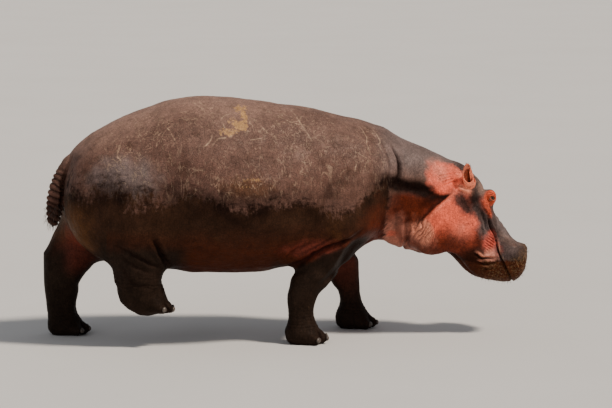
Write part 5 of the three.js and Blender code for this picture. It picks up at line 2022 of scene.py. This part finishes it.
class HIPPO_OT_stage(bpy.types.Operator):
    """Sets up the floor, the soft studio light and the camera"""

    bl_idname = "hippo.stage"
    bl_label = "Stage"

    def execute(self, context):
        s = settings().stage
        corners = [(x * FLOOR_HALF, y * FLOOR_HALF, 0) for x, y in ((-1, -1), (1, -1), (1, 1), (-1, 1))]
        floor = add_object("studio_floor", mesh_of("studio_floor", corners, [(0, 1, 2, 3)]))
        n = Nodes("studio_floor")
        tone = n.span(n.noise(n.place(), 0.8, 2.0), 0.3, 0.7)
        n.shade(Base_Color=n.mix(tone, s.floor, brighter(s.floor, 0.97)), Roughness=0.85)
        floor.data.materials.append(n.material)

        world = bpy.data.worlds.new("studio")
        context.scene.world = world
        world.use_nodes = True
        backdrop = world.node_tree.nodes["Background"]
        backdrop.inputs["Color"].default_value = (0.8, 0.82, 0.86, 1)
        backdrop.inputs["Strength"].default_value = s.sky

        for name, part, way, spread, tint in LAMPS:
            lamp = bpy.data.lights.new(name, "SUN")
            lamp.energy = s.sun * part
            lamp.angle = math.radians(spread)
            lamp.color = tint
            holder = bpy.data.objects.new(name, lamp)
            context.scene.collection.objects.link(holder)
            holder.rotation_euler = Vector(way).to_track_quat("-Z", "Y").to_euler()

        azimuth, elevation = s.azimuth, s.elevation
        level = Vector((math.sin(azimuth), -math.cos(azimuth), 0))
        back = level * math.cos(elevation) + Vector((0, 0, math.sin(elevation)))
        right = Vector((math.cos(azimuth), math.sin(azimuth), 0))
        target = right * s.look_right + back.cross(right) * s.look_up
        lens = bpy.data.cameras.new("camera")
        lens.lens = s.lens
        lens.sensor_width = SENSOR_WIDTH
        lens.clip_start = 0.5
        lens.clip_end = 200
        camera = bpy.data.objects.new("camera", lens)
        context.scene.collection.objects.link(camera)
        camera.location = target + back * s.distance
        camera.rotation_euler = (-back).to_track_quat("-Z", "Y").to_euler()
        context.scene.camera = camera
        return {"FINISHED"}


class HIPPO_PT_panel(bpy.types.Panel):
    """Lists the hippopotamus's pieces"""

    bl_idname = "HIPPO_PT_panel"
    bl_label = "Hippopotamus"
    bl_space_type = "VIEW_3D"
    bl_region_type = "UI"
    bl_category = "Hippo"

    def draw(self, context):
        for operator in OPERATORS:
            self.layout.operator(operator.bl_idname)
        for group in (context.scene.hippo.shape, context.scene.hippo.colours, context.scene.hippo.stage):
            box = self.layout.box()
            for name in group.bl_rna.properties.keys():
                if name not in ("rna_type", "name"):
                    box.prop(group, name)


OPERATORS = (HIPPO_OT_skin, HIPPO_OT_eyes, HIPPO_OT_nails, HIPPO_OT_bristles, HIPPO_OT_stage)
CLASSES = (HippoShape, HippoColours, HippoStage, HippoSettings, *OPERATORS, HIPPO_PT_panel)


def register():
    for cls in CLASSES:
        bpy.utils.register_class(cls)
    bpy.types.Scene.hippo = PointerProperty(type=HippoSettings)


def unregister():
    del bpy.types.Scene.hippo
    for cls in reversed(CLASSES):
        bpy.utils.unregister_class(cls)


def main():
    register()
    bpy.ops.hippo.skin()
    bpy.ops.hippo.eyes()
    bpy.ops.hippo.nails()
    bpy.ops.hippo.bristles()
    bpy.ops.hippo.stage()
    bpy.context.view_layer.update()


if __name__ == "__main__":
    main()
